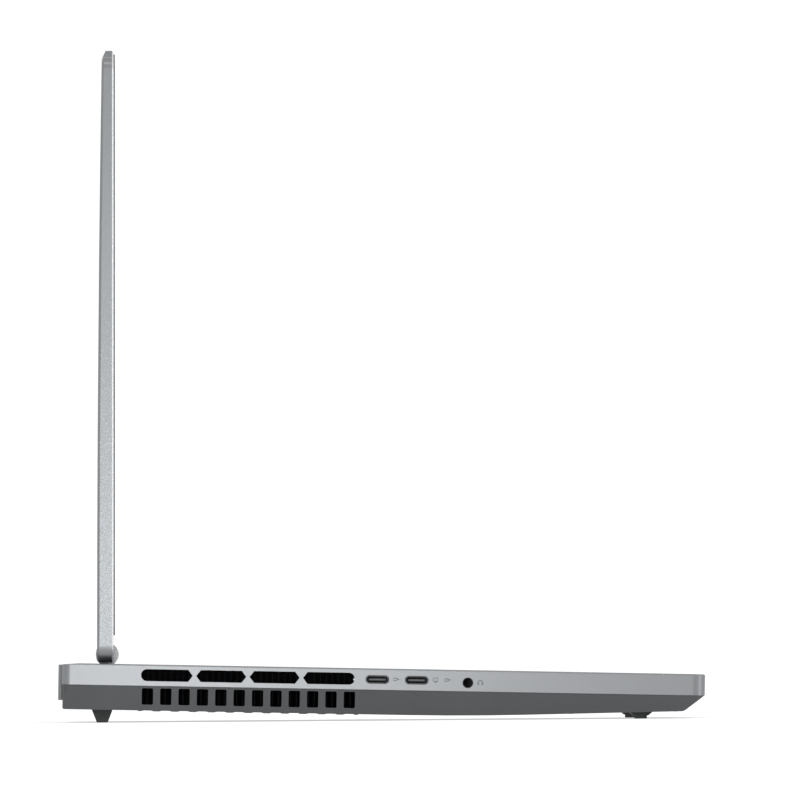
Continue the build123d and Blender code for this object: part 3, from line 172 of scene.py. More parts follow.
def colour_property(name, hex_colour, description):
    """A colour setting with its default given as sRGB hex."""
    return FloatVectorProperty(
        name=name,
        description=description,
        subtype="COLOR",
        size=4,
        min=0,
        max=1,
        default=linear(hex_colour),
    )


class LaptopColours(bpy.types.PropertyGroup):
    """Colours of the finishes."""

    shell: colour_property("Shell", "#808284", "Anodised aluminium of the deck and lid")
    bottom: colour_property("Bottom", "#36383a", "Moulded plastic of the bottom cover")
    key: colour_property("Key", "#3a3b3d", "Key caps")
    legend: colour_property("Legend", "#d6d8da", "Key legends")
    bezel: colour_property("Bezel", "#141416", "Frame round the screen")
    trim: colour_property("Trim", "#6f7173", "Painted plastic of the rear bar")
    rubber: colour_property("Rubber", "#434445", "Feet")
    gasket: colour_property("Gasket", "#636567", "Soft ring round the screen")
    floor: colour_property("Floor", "#bcbcbc", "Studio floor")


# Node and mesh helpers

MERGE_DISTANCE = 0.0005 * MM


def add_node(tree, kind, inputs=None, **settings):
    """Add a node with its settings, and set or link its inputs."""
    node = tree.nodes.new(kind)
    for name, value in settings.items():
        setattr(node, name, value)
    for key, value in (inputs or {}).items():
        if isinstance(value, bpy.types.NodeSocket):
            tree.links.new(value, node.inputs[key])
        else:
            node.inputs[key].default_value = value
    return node


def new_material(name, **shader_inputs):
    """A material with one Principled shader, its constants set on its own sockets."""
    material = bpy.data.materials.new(name)
    material.use_nodes = True
    tree = material.node_tree
    tree.nodes.clear()
    inputs = {key.replace("_", " "): value for key, value in shader_inputs.items()}
    shader = add_node(tree, "ShaderNodeBsdfPrincipled", inputs)
    add_node(tree, "ShaderNodeOutputMaterial", {"Surface": shader.outputs["BSDF"]})
    return material, tree, shader


def object_noise(tree, size, detail=3.0, roughness=0.55):
    """Noise on object coordinates whose lumps are about one size across."""
    place = add_node(tree, "ShaderNodeTexCoord")
    inputs = {"Vector": place.outputs["Object"], "Scale": 1 / size, "Detail": detail}
    inputs["Roughness"] = roughness
    return add_node(tree, "ShaderNodeTexNoise", inputs).outputs["Fac"]


def ramp(tree, factor, low, high, start=0.0, end=1.0):
    """Map a factor between two levels to a value or, given colours, to a colour."""
    if isinstance(low, (int, float)):
        inputs = {"Value": factor, "From Min": start, "From Max": end}
        inputs |= {"To Min": low, "To Max": high}
        return add_node(tree, "ShaderNodeMapRange", inputs).outputs["Result"]
    node = add_node(tree, "ShaderNodeValToRGB", {"Fac": factor})
    node.color_ramp.elements[0].position, node.color_ramp.elements[0].color = start, low
    node.color_ramp.elements[1].position, node.color_ramp.elements[1].color = end, high
    return node.outputs["Color"]


def bump(tree, shader, height, strength, distance):
    """Feed a height to the shader's normal."""
    inputs = {"Height": height, "Strength": strength, "Distance": distance}
    node = add_node(tree, "ShaderNodeBump", inputs)
    tree.links.new(node.outputs["Normal"], shader.inputs["Normal"])


def shade(colour, factor):
    """A colour made lighter or darker."""
    return (*[min(1.0, value * factor) for value in colour[:3]], 1.0)


def mesh_object(name, mesh, material=None):
    """Link a mesh as an object at the origin."""
    piece = bpy.data.objects.new(name, mesh)
    bpy.context.scene.collection.objects.link(piece)
    if material:
        mesh.materials.clear()
        mesh.materials.append(material)
    return piece


def evaluated_mesh(piece):
    """The mesh of an object with its modifiers or its curve applied."""
    graph = bpy.context.evaluated_depsgraph_get()
    return bpy.data.meshes.new_from_object(piece.evaluated_get(graph))


def smooth(mesh, angle=30):
    """Smooth shading with sharp edges where faces turn by more than the angle."""
    mesh.shade_smooth()
    mesh.set_sharp_from_angle(angle=math.radians(angle))


def merged_copy(node):
    """A CAD node's mesh with its loose triangles merged into flat faces."""
    work = bmesh.new()
    work.from_mesh(frame["nodes"][node].data)
    bmesh.ops.remove_doubles(work, verts=work.verts, dist=MERGE_DISTANCE)
    bmesh.ops.dissolve_limit(
        work, angle_limit=math.radians(0.5), verts=work.verts, edges=work.edges
    )
    mesh = bpy.data.meshes.new(node + "_copy")
    work.to_mesh(mesh)
    work.free()
    return mesh


def islands(node):
    """The corner points of each solid of a CAD node."""
    work = bmesh.new()
    work.from_mesh(frame["nodes"][node].data)
    bmesh.ops.remove_doubles(work, verts=work.verts, dist=MERGE_DISTANCE)
    groups, seen = [], set()
    for start in work.verts:
        if start.index in seen:
            continue
        stack, points = [start], []
        seen.add(start.index)
        while stack:
            vertex = stack.pop()
            points.append(vertex.co.copy())
            for edge in vertex.link_edges:
                other = edge.other_vert(vertex)
                if other.index not in seen:
                    seen.add(other.index)
                    stack.append(other)
        groups.append(points)
    work.free()
    return groups


def local_box(points, matrix):
    """Lowest and highest corners of points in a frame."""
    inverse = matrix.inverted()
    local = [inverse @ point for point in points]
    lowest = Vector([min(point[i] for point in local) for i in range(3)])
    highest = Vector([max(point[i] for point in local) for i in range(3)])
    return lowest, highest


def box_middle(node, index):
    """The middle of one solid of a CAD node."""
    low, high = local_box(islands(node)[index], Matrix())
    return (low + high) / 2


def paint(material, *nodes):
    """Give CAD nodes a material."""
    for node in nodes:
        data = frame["nodes"][node].data
        data.materials.clear()
        data.materials.append(material)


def paint_faces(node, material, chosen):
    """Give some faces of a painted CAD node another material: chosen tests centre and normal."""
    data = frame["nodes"][node].data
    data.materials.append(material)
    for face in data.polygons:
        if chosen(face.center, face.normal):
            face.material_index = len(data.materials) - 1


# Materials


def anodised_aluminium():
    """Bead-blasted, anodised aluminium: a fine sparkle-free grain and a soft, wide highlight."""
    colour = bpy.context.scene.laptop_colours.shell
    material, tree, shader = new_material("anodised_aluminium", Metallic=0.95, Roughness=0.4)
    # Real blast pits are near 0.05 mm; these are drawn coarser so that they show.
    grain = object_noise(tree, 0.35 * MM, detail=2.0)
    drift = object_noise(tree, 60 * MM, detail=2.0)
    tint = ramp(tree, drift, shade(colour, 0.965), shade(colour, 1.035), 0.3, 0.7)
    fleck = ramp(tree, grain, shade(colour, 0.97), shade(colour, 1.03), 0.35, 0.65)
    mix = add_node(tree, "ShaderNodeMixRGB", {"Fac": 0.5, "Color1": tint, "Color2": fleck})
    tree.links.new(mix.outputs["Color"], shader.inputs["Base Color"])
    tree.links.new(ramp(tree, grain, 0.36, 0.46, 0.3, 0.7), shader.inputs["Roughness"])
    bump(tree, shader, grain, 0.12, 0.02 * MM)
    return material


def rim_highlight_aluminium():
    """Lighter aluminium on the lid's front chamfer: a painted highlight along the rim, with fine
    lines.
    """
    material, tree, shader = new_material("rim_highlight_painted", Metallic=0.9, Roughness=0.3)
    lines = object_noise(tree, 0.5 * MM, detail=1.0)
    tone = ramp(tree, lines, linear("#c6c8ca"), linear("#d8dadc"), 0.3, 0.7)
    tree.links.new(tone, shader.inputs["Base Color"])
    tree.links.new(ramp(tree, lines, 0.26, 0.36, 0.3, 0.7), shader.inputs["Roughness"])
    return material


def moulded_abs(name, colour, roughness=0.55, spark=0.4 * MM, depth=0.04 * MM):
    """Moulded ABS with spark-eroded texture: small soft pits that break up the highlight."""
    material, tree, shader = new_material(name, Roughness=roughness)
    shader.inputs["IOR"].default_value = 1.54
    pits = object_noise(tree, spark, detail=3.0, roughness=0.6)
    tone = ramp(tree, pits, shade(colour, 0.9), shade(colour, 1.1), 0.35, 0.65)
    tree.links.new(tone, shader.inputs["Base Color"])
    rough = ramp(tree, object_noise(tree, 25 * MM), roughness - 0.05, roughness + 0.06, 0.3, 0.7)
    tree.links.new(rough, shader.inputs["Roughness"])
    bump(tree, shader, pits, 0.3, depth)
    return material


def pressed_rubber(name, colour):
    """Pressed rubber: matt, with a fine ribbed tread and slight dusting."""
    material, tree, shader = new_material(name, Roughness=0.8)
    place = add_node(tree, "ShaderNodeTexCoord").outputs["Object"]
    tread = 1.0 * MM
    waves = {"Vector": place, "Scale": 1 / tread / (2 * math.pi)}
    ridges = add_node(tree, "ShaderNodeTexWave", waves, bands_direction="DIAGONAL").outputs["Fac"]
    dust = object_noise(tree, 8 * MM)
    tone = ramp(tree, dust, shade(colour, 0.85), shade(colour, 1.25), 0.35, 0.7)
    tree.links.new(tone, shader.inputs["Base Color"])
    bump(tree, shader, ridges, 0.25, 0.08 * MM)
    return material


def stamped_steel(name="stamped_steel", colour="#a8a9aa", roughness=0.32):
    """Stamped and plated steel: a fine rolled grain along X under a cool sheen."""
    material, tree, shader = new_material(name, Metallic=1.0, Roughness=roughness)
    place = add_node(tree, "ShaderNodeTexCoord").outputs["Object"]
    length, width = 20 / 3 * MM, 0.4 * MM
    stretch = {"Vector": place, "Scale": (1 / length, 1 / width, 1 / width)}
    along = add_node(tree, "ShaderNodeMapping", stretch).outputs["Vector"]
    inputs = {"Vector": along, "Scale": 1.0, "Detail": 2.0}
    grain = add_node(tree, "ShaderNodeTexNoise", inputs).outputs["Fac"]
    tone = ramp(tree, grain, shade(linear(colour), 0.85), shade(linear(colour), 1.1), 0.3, 0.7)
    tree.links.new(tone, shader.inputs["Base Color"])
    rough = ramp(tree, grain, roughness - 0.06, roughness + 0.08, 0.3, 0.7)
    tree.links.new(rough, shader.inputs["Roughness"])
    return material


def shade_black_fins():
    """Rolled aluminium fins made near black with almost no gloss: painted shade inside the vents.
    """
    material, tree, shader = new_material("fins_painted_shade", Metallic=0.0, Roughness=0.85)
    shader.inputs["Specular IOR Level"].default_value = 0.06
    dust = object_noise(tree, 2 * MM)
    tone = ramp(tree, dust, linear("#060607"), linear("#101114"), 0.3, 0.7)
    tree.links.new(tone, shader.inputs["Base Color"])
    return material


def anti_glare_glass():
    """Etched display glass over an unlit panel: near black with a wide, soft reflection."""
    material, tree, shader = new_material("anti_glare_glass", Roughness=0.22, IOR=1.52)
    etch = object_noise(tree, 0.3 * MM, detail=1.0)
    tone = ramp(tree, etch, linear("#08090b"), linear("#101216"), 0.3, 0.7)
    tree.links.new(tone, shader.inputs["Base Color"])
    tree.links.new(ramp(tree, etch, 0.17, 0.27, 0.3, 0.7), shader.inputs["Roughness"])
    shader.inputs["Coat Weight"].default_value = 0.25
    shader.inputs["Coat Roughness"].default_value = 0.12
    return material


def etched_pad_glass():
    """Etched and tinted glass of the touchpad: satin, a little smoother than the deck."""
    colour = bpy.context.scene.laptop_colours.shell
    material, tree, shader = new_material("etched_pad_glass", Roughness=0.33, IOR=1.5)
    etch = object_noise(tree, 0.25 * MM, detail=1.0)
    tone = ramp(tree, etch, shade(colour, 0.86), shade(colour, 0.93), 0.3, 0.7)
    tree.links.new(tone, shader.inputs["Base Color"])
    tree.links.new(ramp(tree, etch, 0.28, 0.38, 0.3, 0.7), shader.inputs["Roughness"])
    return material


def lens_glass():
    """Coated lens glass over a dark barrel."""
    material, tree, shader = new_material("coated_lens_glass", Roughness=0.05, IOR=1.6)
    ring = object_noise(tree, 3 * MM)
    tone = ramp(tree, ring, linear("#050508"), linear("#141a2c"), 0.3, 0.7)
    tree.links.new(tone, shader.inputs["Base Color"])
    shader.inputs["Coat Weight"].default_value = 1.0
    return material


def screen_print(name, colour):
    """Pad-printed ink: flat and slightly uneven in density."""
    material, tree, shader = new_material(name, Roughness=0.6)
    ink = object_noise(tree, 0.6 * MM)
    tone = ramp(tree, ink, shade(colour, 0.9), shade(colour, 1.05), 0.3, 0.7)
    tree.links.new(tone, shader.inputs["Base Color"])
    return material


def board_laminate():
    """Glass-epoxy board under green solder resist."""
    material, tree, shader = new_material("solder_resist_laminate", Roughness=0.35)
    weave = object_noise(tree, 1.2 * MM)
    tone = ramp(tree, weave, linear("#0c2a17"), linear("#153d22"), 0.3, 0.7)
    tree.links.new(tone, shader.inputs["Base Color"])
    return material


def plated_copper():
    """Drawn copper heat pipe with a thin oxide."""
    material, tree, shader = new_material("drawn_copper", Metallic=1.0, Roughness=0.3)
    stain = object_noise(tree, 9 * MM)
    tone = ramp(tree, stain, linear("#8a4a2c"), linear("#c07a50"), 0.3, 0.7)
    tree.links.new(tone, shader.inputs["Base Color"])
    return material


# Faces that get a finish of their own

FACING = 0.9
CHAMFER_DEPTH = 0.7 * MM
SCALLOP_LOWEST = -17.5 * MM
SCALLOP_FRONT, SCALLOP_REAR = 8 * MM, 100 * MM
SCALLOP_INSET = 10 * MM
TONGUE_INSET = 3.2 * MM


def on_lid_chamfer(centre, normal):
    """True on the slanted band round the lid's front edge."""
    slant = (lid_matrix.inverted().to_3x3() @ normal).z
    near_front = (lid_matrix.inverted() @ centre).z > LID_FRONT - CHAMFER_DEPTH
    return 0.6 < slant < 0.8 and near_front


def in_scallop(centre, normal):
    """True on the end walls of the scallops under the side windows."""
    place = deck_matrix.inverted() @ centre
    outward = normal.x * centre.x > FACING * abs(centre.x)
    inside = abs(centre.x) < -SIDE_X - SCALLOP_INSET
    below = place.z < SCALLOP_LOWEST and SCALLOP_FRONT < place.y < SCALLOP_REAR
    return outward and inside and below


def on_socket_front(centre, normal):
    """True on the rims and the tongue tips of the sockets in the left side."""
    return normal.x < -FACING and centre.x < SIDE_X + TONGUE_INSET


class LAPTOP_OT_finish_frame(bpy.types.Operator):
    """Give every kept CAD node its finish"""

    bl_idname = "laptop.finish_frame"
    bl_label = "Finish Frame"

    def execute(self, context):
        colours = context.scene.laptop_colours
        shell = anodised_aluminium()
        paint(shell, "deck_cover", "lid_cover", "hinge_caps", "shutter_switch", "power_button")
        bottom = moulded_abs("textured_abs", colours.bottom)
        paint(bottom, "bottom_cover")
        shadow = moulded_abs("scallop_shadow_abs", shade(colours.bottom, 0.45), 0.7)
        paint_faces("bottom_cover", shadow, in_scallop)
        # Painted highlight: the lid's front chamfer gets a much lighter aluminium than the shell.
        paint_faces("lid_cover", rim_highlight_aluminium(), on_lid_chamfer)
        trim = moulded_abs("painted_abs", colours.trim, 0.4, depth=0.015 * MM)
        paint(trim, "rear_port_housing", "exhaust_grilles")
        inner = moulded_abs("inner_abs", linear("#1b1c1e"), roughness=0.6)
        inner_nodes = ["left_fan_housing", "right_fan_housing", "left_impeller", "right_impeller"]
        inner_nodes += ["speakers", "battery_pack", "antennas", "card_reader", "audio_socket"]
        inner_nodes += ["network_socket", "power_socket", "processor_chips"]
        inner_nodes += ["memory_modules", "expansion_cards"]
        paint(inner, *inner_nodes)
        paint(moulded_abs("grid_abs", linear("#2b2c2e"), roughness=0.5), "keyboard_grid")
        bezel = moulded_abs("bezel_abs", colours.bezel, roughness=0.42, depth=0.02 * MM)
        paint(bezel, "screen_bezel", "camera_module")
        paint(pressed_rubber("pressed_rubber", colours.rubber), "rear_foot", "front_feet")
        paint(pressed_rubber("soft_grey_rubber", colours.gasket), "screen_gasket")
        paint(anti_glare_glass(), "screen_panel")
        paint(etched_pad_glass(), "touchpad")
        steel = stamped_steel()
        paint(steel, "keyboard_plate", "touchpad_tray", "screw_posts", "hinge_pins")
        paint(steel, "left_hinge_arm", "right_hinge_arm", "video_socket", "usb_a_sockets")
        dark = stamped_steel("black_oxide_steel", "#4c4d4f", 0.4)
        paint(dark, "left_hinge_bracket", "right_hinge_bracket", "heat_spreader")
        paint(moulded_abs("socket_shadow_abs", linear("#060607"), 0.7), "usb_c_sockets")
        paint_faces("usb_c_sockets", dark, on_socket_front)
        # Painted shade: the fins behind the vent windows are made near black.
        paint(shade_black_fins(), "left_side_fins", "right_side_fins", "rear_fins")
        paint(plated_copper(), "heat_pipes")
        paint(board_laminate(), "mainboard", "side_boards")
        return {"FINISHED"}


# Keys and legends

KEY_LEGENDS = {
    "function_keys": [
        *["esc", *[f"F{number}" for number in range(1, 13)]],
        *"ins prt del home end pgup pgdn".split(),
    ],
    "number_keys": "` 1 2 3 4 5 6 7 8 9 0 - = back".split(),
    "upper_letter_keys": "tab Q W E R T Y U I O P [ ] \\".split(),
    "home_letter_keys": "caps A S D F G H J K L ; '".split(),
    "enter_key": ["enter"],
    "lower_letter_keys": "shift Z X C V B N M , . / shift".split(),
    "modifier_keys": "ctrl fn menu alt alt ctrl opt".split(),
    "space_bar": [""],
    "arrow_keys": ["up", "left", "down", "right"],
    "keypad_keys": "num / * - 7 8 9 + 4 5 6 1 2 3 enter 0 .".split(),
}
ARROW_TURNS = {"up": 0, "left": 90, "down": 180, "right": 270}
INK_THICKNESS = 0.02 * MM
CROWN_DEPTH = 0.05 * MM
CAPITAL_RISE = 0.72  # of the type size
LOW_KEY = 5.12  # word heights: a lower key has its legend half way up


def key_tops(node):
    """The lowest and highest corners of each key's top in the deck frame, by row and place."""
    tops = []
    for points in islands(node):
        low, high = local_box(points, deck_matrix)
        inverse = deck_matrix.inverted()
        crown = [p for p in points if (inverse @ p).z > high.z - CROWN_DEPTH]
        tops.append(local_box(crown, deck_matrix))
    return sorted(tops, key=lambda top: (-round((top[0].y + top[1].y) / MM), top[0].x))


def text_mesh(text, height):
    """Flat letters, a little thick, standing on X with their corner at the origin."""
    curve = bpy.data.curves.new("legend", "FONT")
    curve.body, curve.size = text, height
    curve.extrude = INK_THICKNESS
    curve.resolution_u = 3
    writing = bpy.data.objects.new("legend", curve)
    bpy.context.scene.collection.objects.link(writing)
    mesh = evaluated_mesh(writing)
    bpy.data.objects.remove(writing)
    return mesh


def arrow_mesh(turn, size):
    """A small triangle sign about the origin."""
    work = bmesh.new()
    corners = [(0, size / 2), (-size / 2, -size / 2), (size / 2, -size / 2)]
    spin = Matrix.Rotation(math.radians(turn), 4, "Z")
    face = work.faces.new([work.verts.new(spin @ Vector((x, y, 0))) for x, y in corners])
    made = bmesh.ops.extrude_face_region(work, geom=[face])["geom"]
    lift = [item for item in made if isinstance(item, bmesh.types.BMVert)]
    bmesh.ops.translate(work, verts=lift, vec=(0, 0, INK_THICKNESS))
    bmesh.ops.recalc_face_normals(work, faces=work.faces)
    mesh = bpy.data.meshes.new("arrow")
    work.to_mesh(mesh)
    work.free()
    return mesh


def join_meshes(name, placed):
    """One mesh from (mesh, matrix) pairs."""
    work = bmesh.new()
    for mesh, matrix in placed:
        copy = mesh.copy()
        copy.transform(matrix)
        work.from_mesh(copy)
        bpy.data.meshes.remove(copy)
    joined = bpy.data.meshes.new(name)
    work.to_mesh(joined)
    work.free()
    return joined


def legend_mesh(node, sizes):
    """All legends of one group of keys, lying on the key tops."""
    placed = []
    for legend, (low, high) in zip(KEY_LEGENDS[node], key_tops(node)):
        if not legend:
            continue
        z = high.z
        if node == "arrow_keys":
            middle = ((low.x + high.x) / 2, (low.y + high.y) / 2, z)
            mesh = arrow_mesh(ARROW_TURNS[legend], sizes.word_height)
            placed.append((mesh, deck_matrix @ Matrix.Translation(middle)))
            continue
        height = sizes.letter_height if len(legend) == 1 else sizes.word_height
        rise = CAPITAL_RISE * height
        low_key = high.y - low.y < LOW_KEY * sizes.word_height
        margin = sizes.legend_margin
        y = (low.y + high.y - rise) / 2 if low_key else high.y - margin - rise
        place = deck_matrix @ Matrix.Translation((low.x + margin, y, z))
        placed.append((text_mesh(legend, height), place))
    return join_meshes(node + "_legends", placed) if placed else None


class LAPTOP_OT_make_keys(bpy.types.Operator):
    """Rebuild the key caps with rounded edges and print their legends"""

    bl_idname = "laptop.make_keys"
    bl_label = "Make Keys"

    def execute(self, context):
        sizes, colours = context.scene.laptop_sizes, context.scene.laptop_colours
        cap_material = moulded_abs("moulded_key_abs", colours.key, 0.5, 0.3 * MM, 0.03 * MM)
        ink = screen_print("laser_marked_legend", colours.legend)
        for node in KEY_LEGENDS:
            caps = mesh_object(node + "_caps", merged_copy(node), cap_material)
            edge = caps.modifiers.new("edge", "BEVEL")
            edge.width, edge.segments = sizes.key_round, 2
            edge.limit_method, edge.angle_limit = "ANGLE", math.radians(35)
            mesh = evaluated_mesh(caps)
            caps.modifiers.clear()
            caps.data = mesh
            smooth(mesh, 35)
            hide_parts(node)
            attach(caps, node + "_body")
            legends = legend_mesh(node, sizes)
            if legends:
                marks = mesh_object(node + "_legends", legends, ink)
                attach(marks, node + "_body")
        return {"FINISHED"}


# Geometry Nodes trees

SCREW_HEAD = 0.8 * MM
SOCKET_KINDS = {
    "geometry": "NodeSocketGeometry",
    "material": "NodeSocketMaterial",
    "number": "NodeSocketFloat",
    "count": "NodeSocketInt",
}


def new_tree(name, **inputs):
    """A geometry tree with named inputs, each given by its kind."""
    tree = bpy.data.node_groups.new(name, "GeometryNodeTree")
    for key, kind in inputs.items():
        tree.interface.new_socket(key, in_out="INPUT", socket_type=SOCKET_KINDS[kind])
    tree.interface.new_socket("Geometry", in_out="OUTPUT", socket_type="NodeSocketGeometry")
    return tree, add_node(tree, "NodeGroupInput").outputs


def finish_tree(tree, instances, material):
    """End a tree in Realize Instances and Set Material."""
    solid = add_node(tree, "GeometryNodeRealizeInstances", {"Geometry": instances})
    inputs = {"Geometry": solid.outputs["Geometry"], "Material": material}
    coated = add_node(tree, "GeometryNodeSetMaterial", inputs)
    add_node(tree, "NodeGroupOutput", {"Geometry": coated.outputs["Geometry"]})


def run_tree(tree, source, values):
    """Run a tree on a source mesh and return the plain mesh that it makes."""
    holder = mesh_object("tree_source", source)
    modifier = holder.modifiers.new("tree", "NODES")
    modifier.node_group = tree
    for item in tree.interface.items_tree:
        if item.in_out == "INPUT" and item.name in values:
            modifier[item.identifier] = values[item.name]
    mesh = evaluated_mesh(holder)
    bpy.data.objects.remove(holder)
    return mesh


def hex_mesh_tree():
    """A sheet of hexagonal cells: one bar ring on every point of the source."""
    tree, given = new_tree(
        "hexagonal_mesh",
        Geometry="geometry",
        Pitch="number",
        Bar="number",
        Thickness="number",
        Sheet="material",
    )
    across = {0: given["Pitch"], 1: math.sqrt(3)}
    radius = add_node(tree, "ShaderNodeMath", across, operation="DIVIDE")
    ring_inputs = {"Resolution": 6, "Radius": radius.outputs[0]}
    ring = add_node(tree, "GeometryNodeCurvePrimitiveCircle", ring_inputs)
    turned_inputs = {"Geometry": ring.outputs["Curve"], "Rotation": (0, 0, math.radians(30))}
    turned = add_node(tree, "GeometryNodeTransform", turned_inputs)
    bar_inputs = {"Width": given["Bar"], "Height": given["Thickness"]}
    bar = add_node(tree, "GeometryNodeCurvePrimitiveQuadrilateral", bar_inputs)
    cell_inputs = {"Curve": turned.outputs["Geometry"], "Profile Curve": bar.outputs["Curve"]}
    cell = add_node(tree, "GeometryNodeCurveToMesh", cell_inputs)
    spread_inputs = {"Points": given["Geometry"], "Instance": cell.outputs["Mesh"]}
    spread = add_node(tree, "GeometryNodeInstanceOnPoints", spread_inputs)
    finish_tree(tree, spread.outputs["Instances"], given["Sheet"])
    return tree


def screw_tree():
    """Low round screw heads with a cut drive socket, on the points of the source."""
    tree, given = new_tree(
        "screw_heads",
        Geometry="geometry",
        Sides="count",
        Radius="number",
        Height="number",
        Finish="material",
    )
    head_inputs = {"Vertices": 40, "Radius": given["Radius"], "Depth": given["Height"]}
    head = add_node(tree, "GeometryNodeMeshCylinder", head_inputs)
    half = add_node(tree, "ShaderNodeMath", {0: given["Radius"], 1: 0.5}, operation="MULTIPLY")
    drive_inputs = {"Vertices": given["Sides"], "Radius": half.outputs[0], "Depth": given["Height"]}
    drive = add_node(tree, "GeometryNodeMeshCylinder", drive_inputs)
    sink = add_node(tree, "ShaderNodeMath", {0: given["Height"], 1: -0.4}, operation="MULTIPLY")
    lift = add_node(tree, "ShaderNodeCombineXYZ", {"Z": sink.outputs[0]})
    low_inputs = {"Geometry": drive.outputs["Mesh"], "Translation": lift.outputs[0]}
    low = add_node(tree, "GeometryNodeTransform", low_inputs)
    cut = add_node(tree, "GeometryNodeMeshBoolean", operation="DIFFERENCE")
    tree.links.new(head.outputs["Mesh"], cut.inputs["Mesh 1"])
    tree.links.new(low.outputs["Geometry"], cut.inputs["Mesh 2"])
    spread_inputs = {"Points": given["Geometry"], "Instance": cut.outputs["Mesh"]}
    spread = add_node(tree, "GeometryNodeInstanceOnPoints", spread_inputs)
    finish_tree(tree, spread.outputs["Instances"], given["Finish"])
    return tree


def point_mesh(points):
    """A mesh of single points."""
    mesh = bpy.data.meshes.new("points")
    mesh.from_pydata([tuple(point) for point in points], [], [])
    return mesh


class LAPTOP_OT_make_intake_mesh(bpy.types.Operator):
    """Weave hexagonal sheets over the fan intakes"""

    bl_idname = "laptop.make_intake_mesh"
    bl_label = "Make Intake Mesh"

    def execute(self, context):
        sizes = context.scene.laptop_sizes
        material = moulded_abs("mesh_abs", linear("#26282a"), 0.6)
        tree = hex_mesh_tree()
        sheets = []
        for points in islands("intake_mesh"):
            low, high = local_box(points, deck_matrix)
            columns = int((high.x - low.x - sizes.mesh_pitch) / sizes.mesh_pitch)
            row_pitch = sizes.mesh_pitch * math.sqrt(3) / 2
            rows = int((high.y - low.y - sizes.mesh_pitch) / row_pitch)
            middle = (low + high) / 2
            cells = []
            for row in range(rows):
                for column in range(columns):
                    x = (column - (columns - 1) / 2 + 0.5 * (row % 2) - 0.25) * sizes.mesh_pitch
                    cells.append((x, (row - (rows - 1) / 2) * row_pitch, 0))
            values = {"Pitch": sizes.mesh_pitch, "Bar": sizes.mesh_bar, "Sheet": material}
            values["Thickness"] = high.z - low.z
            sheet = run_tree(tree, point_mesh(cells), values)
            sheets.append((sheet, deck_matrix @ Matrix.Translation(middle)))
        joined = join_meshes("intake_mesh_sheets", sheets)
        piece = mesh_object("intake_mesh_sheets", joined, material)
        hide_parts("intake_mesh")
        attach(piece, "base")
        return {"FINISHED"}


class LAPTOP_OT_make_screws(bpy.types.Operator):
    """Cut drive sockets in the bottom cover's screws"""

    bl_idname = "laptop.make_screws"
    bl_label = "Make Screws"

    def execute(self, context):
        sizes = context.scene.laptop_sizes
        material = stamped_steel("black_zinc_steel", "#3c3d40", 0.38)
        boxes = [local_box(points, deck_matrix) for points in islands("cover_screws")]
        radius = (boxes[0][1].x - boxes[0][0].x) / 2
        lift = Vector((0, 0, SCREW_HEAD / 2))
        places = []
        for low, high in boxes:
            middle = (low + high) / 2
            places.append(Vector((middle.x, middle.y, low.z)) + lift)
        values = {"Sides": sizes.screw_sides, "Radius": radius, "Height": SCREW_HEAD}
        values["Finish"] = material
        heads = run_tree(screw_tree(), point_mesh(places), values)
        heads.transform(deck_matrix)
        piece = mesh_object("cover_screw_heads", heads, material)
        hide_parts("cover_screws")
        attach(piece, "base")
        return {"FINISHED"}


# Printed signs

SIGN_SIZE = 0.95 * MM
PLUG_STEP, SCREEN_STEP, SECOND_PLUG_STEP, JACK_STEP = 7.4 * MM, 7.6 * MM, 12.2 * MM, 5.0 * MM
LINE_FLATNESS = 0.15
POWER_RING = 1.3 * MM


def line_mesh(paths, width, matrix):
    """Rounded lines along flat paths, half sunk in the surface that they are printed on."""
    curve = bpy.data.curves.new("sign", "CURVE")
    curve.dimensions = "3D"
    curve.bevel_depth, curve.bevel_resolution = width / 2, 1
    curve.use_fill_caps = True
    for points, closed in paths:
        spline = curve.splines.new("POLY")
        spline.points.add(len(points) - 1)
        for target, point in zip(spline.points, points):
            target.co = (*point, 0, 1)
        spline.use_cyclic_u = closed
    drawing = bpy.data.objects.new("sign", curve)
    bpy.context.scene.collection.objects.link(drawing)
    mesh = evaluated_mesh(drawing)
    bpy.data.objects.remove(drawing)
    flatten = Matrix.Diagonal((1, 1, LINE_FLATNESS, 1))
    mesh.transform(matrix @ flatten)
    return mesh


def arc(centre, radius, start, end, steps=12):
    """Points on an arc between two angles in degrees."""
    angles = [math.radians(start + (end - start) * i / steps) for i in range(steps + 1)]
    return [(centre[0] + radius * math.cos(a), centre[1] + radius * math.sin(a)) for a in angles]


def side_matrix(y, z):
    """A frame on the left side wall: X to the front, Y up, Z out of the wall."""
    along, up, outward = Vector((0, -1, 0)), Vector((0, 0, 1)), Vector((-1, 0, 0))
    slope = Matrix.Rotation(-math.asin(deck_matrix.to_3x3().col[1].z), 4, "X")
    turn = Matrix((slope @ along, slope @ up, outward)).transposed().to_4x4()
    return Matrix.Translation((SIDE_X, y, z)) @ turn


def screen_sign(size):
    """A display outline with a stand, for the port that can drive a screen."""
    box = [(-size, -0.5 * size), (size, -0.5 * size), (size, 0.8 * size), (-size, 0.8 * size)]
    return [(box, True), ([(-0.5 * size, -0.9 * size), (0.5 * size, -0.9 * size)], False)]


def plug_sign(size):
    """A round-ended plug outline with a lead."""
    half, back = 0.55 * size, -0.9 * size
    body = arc((0, 0), half, -90, 90) + [(back, half), (back, -half)]
    return [(body, True), ([(half, 0), (1.5 * size, 0)], False)]


def headphone_sign(size):
    """A head band with two ear pads."""
    band = arc((0, 0), size, 0, 180)
    left = [(-size, 0), (-size, -0.8 * size), (-0.6 * size, -0.8 * size), (-0.6 * size, 0)]
    right = [(-x, y) for x, y in left]
    return [(band, False), (left, True), (right, True)]


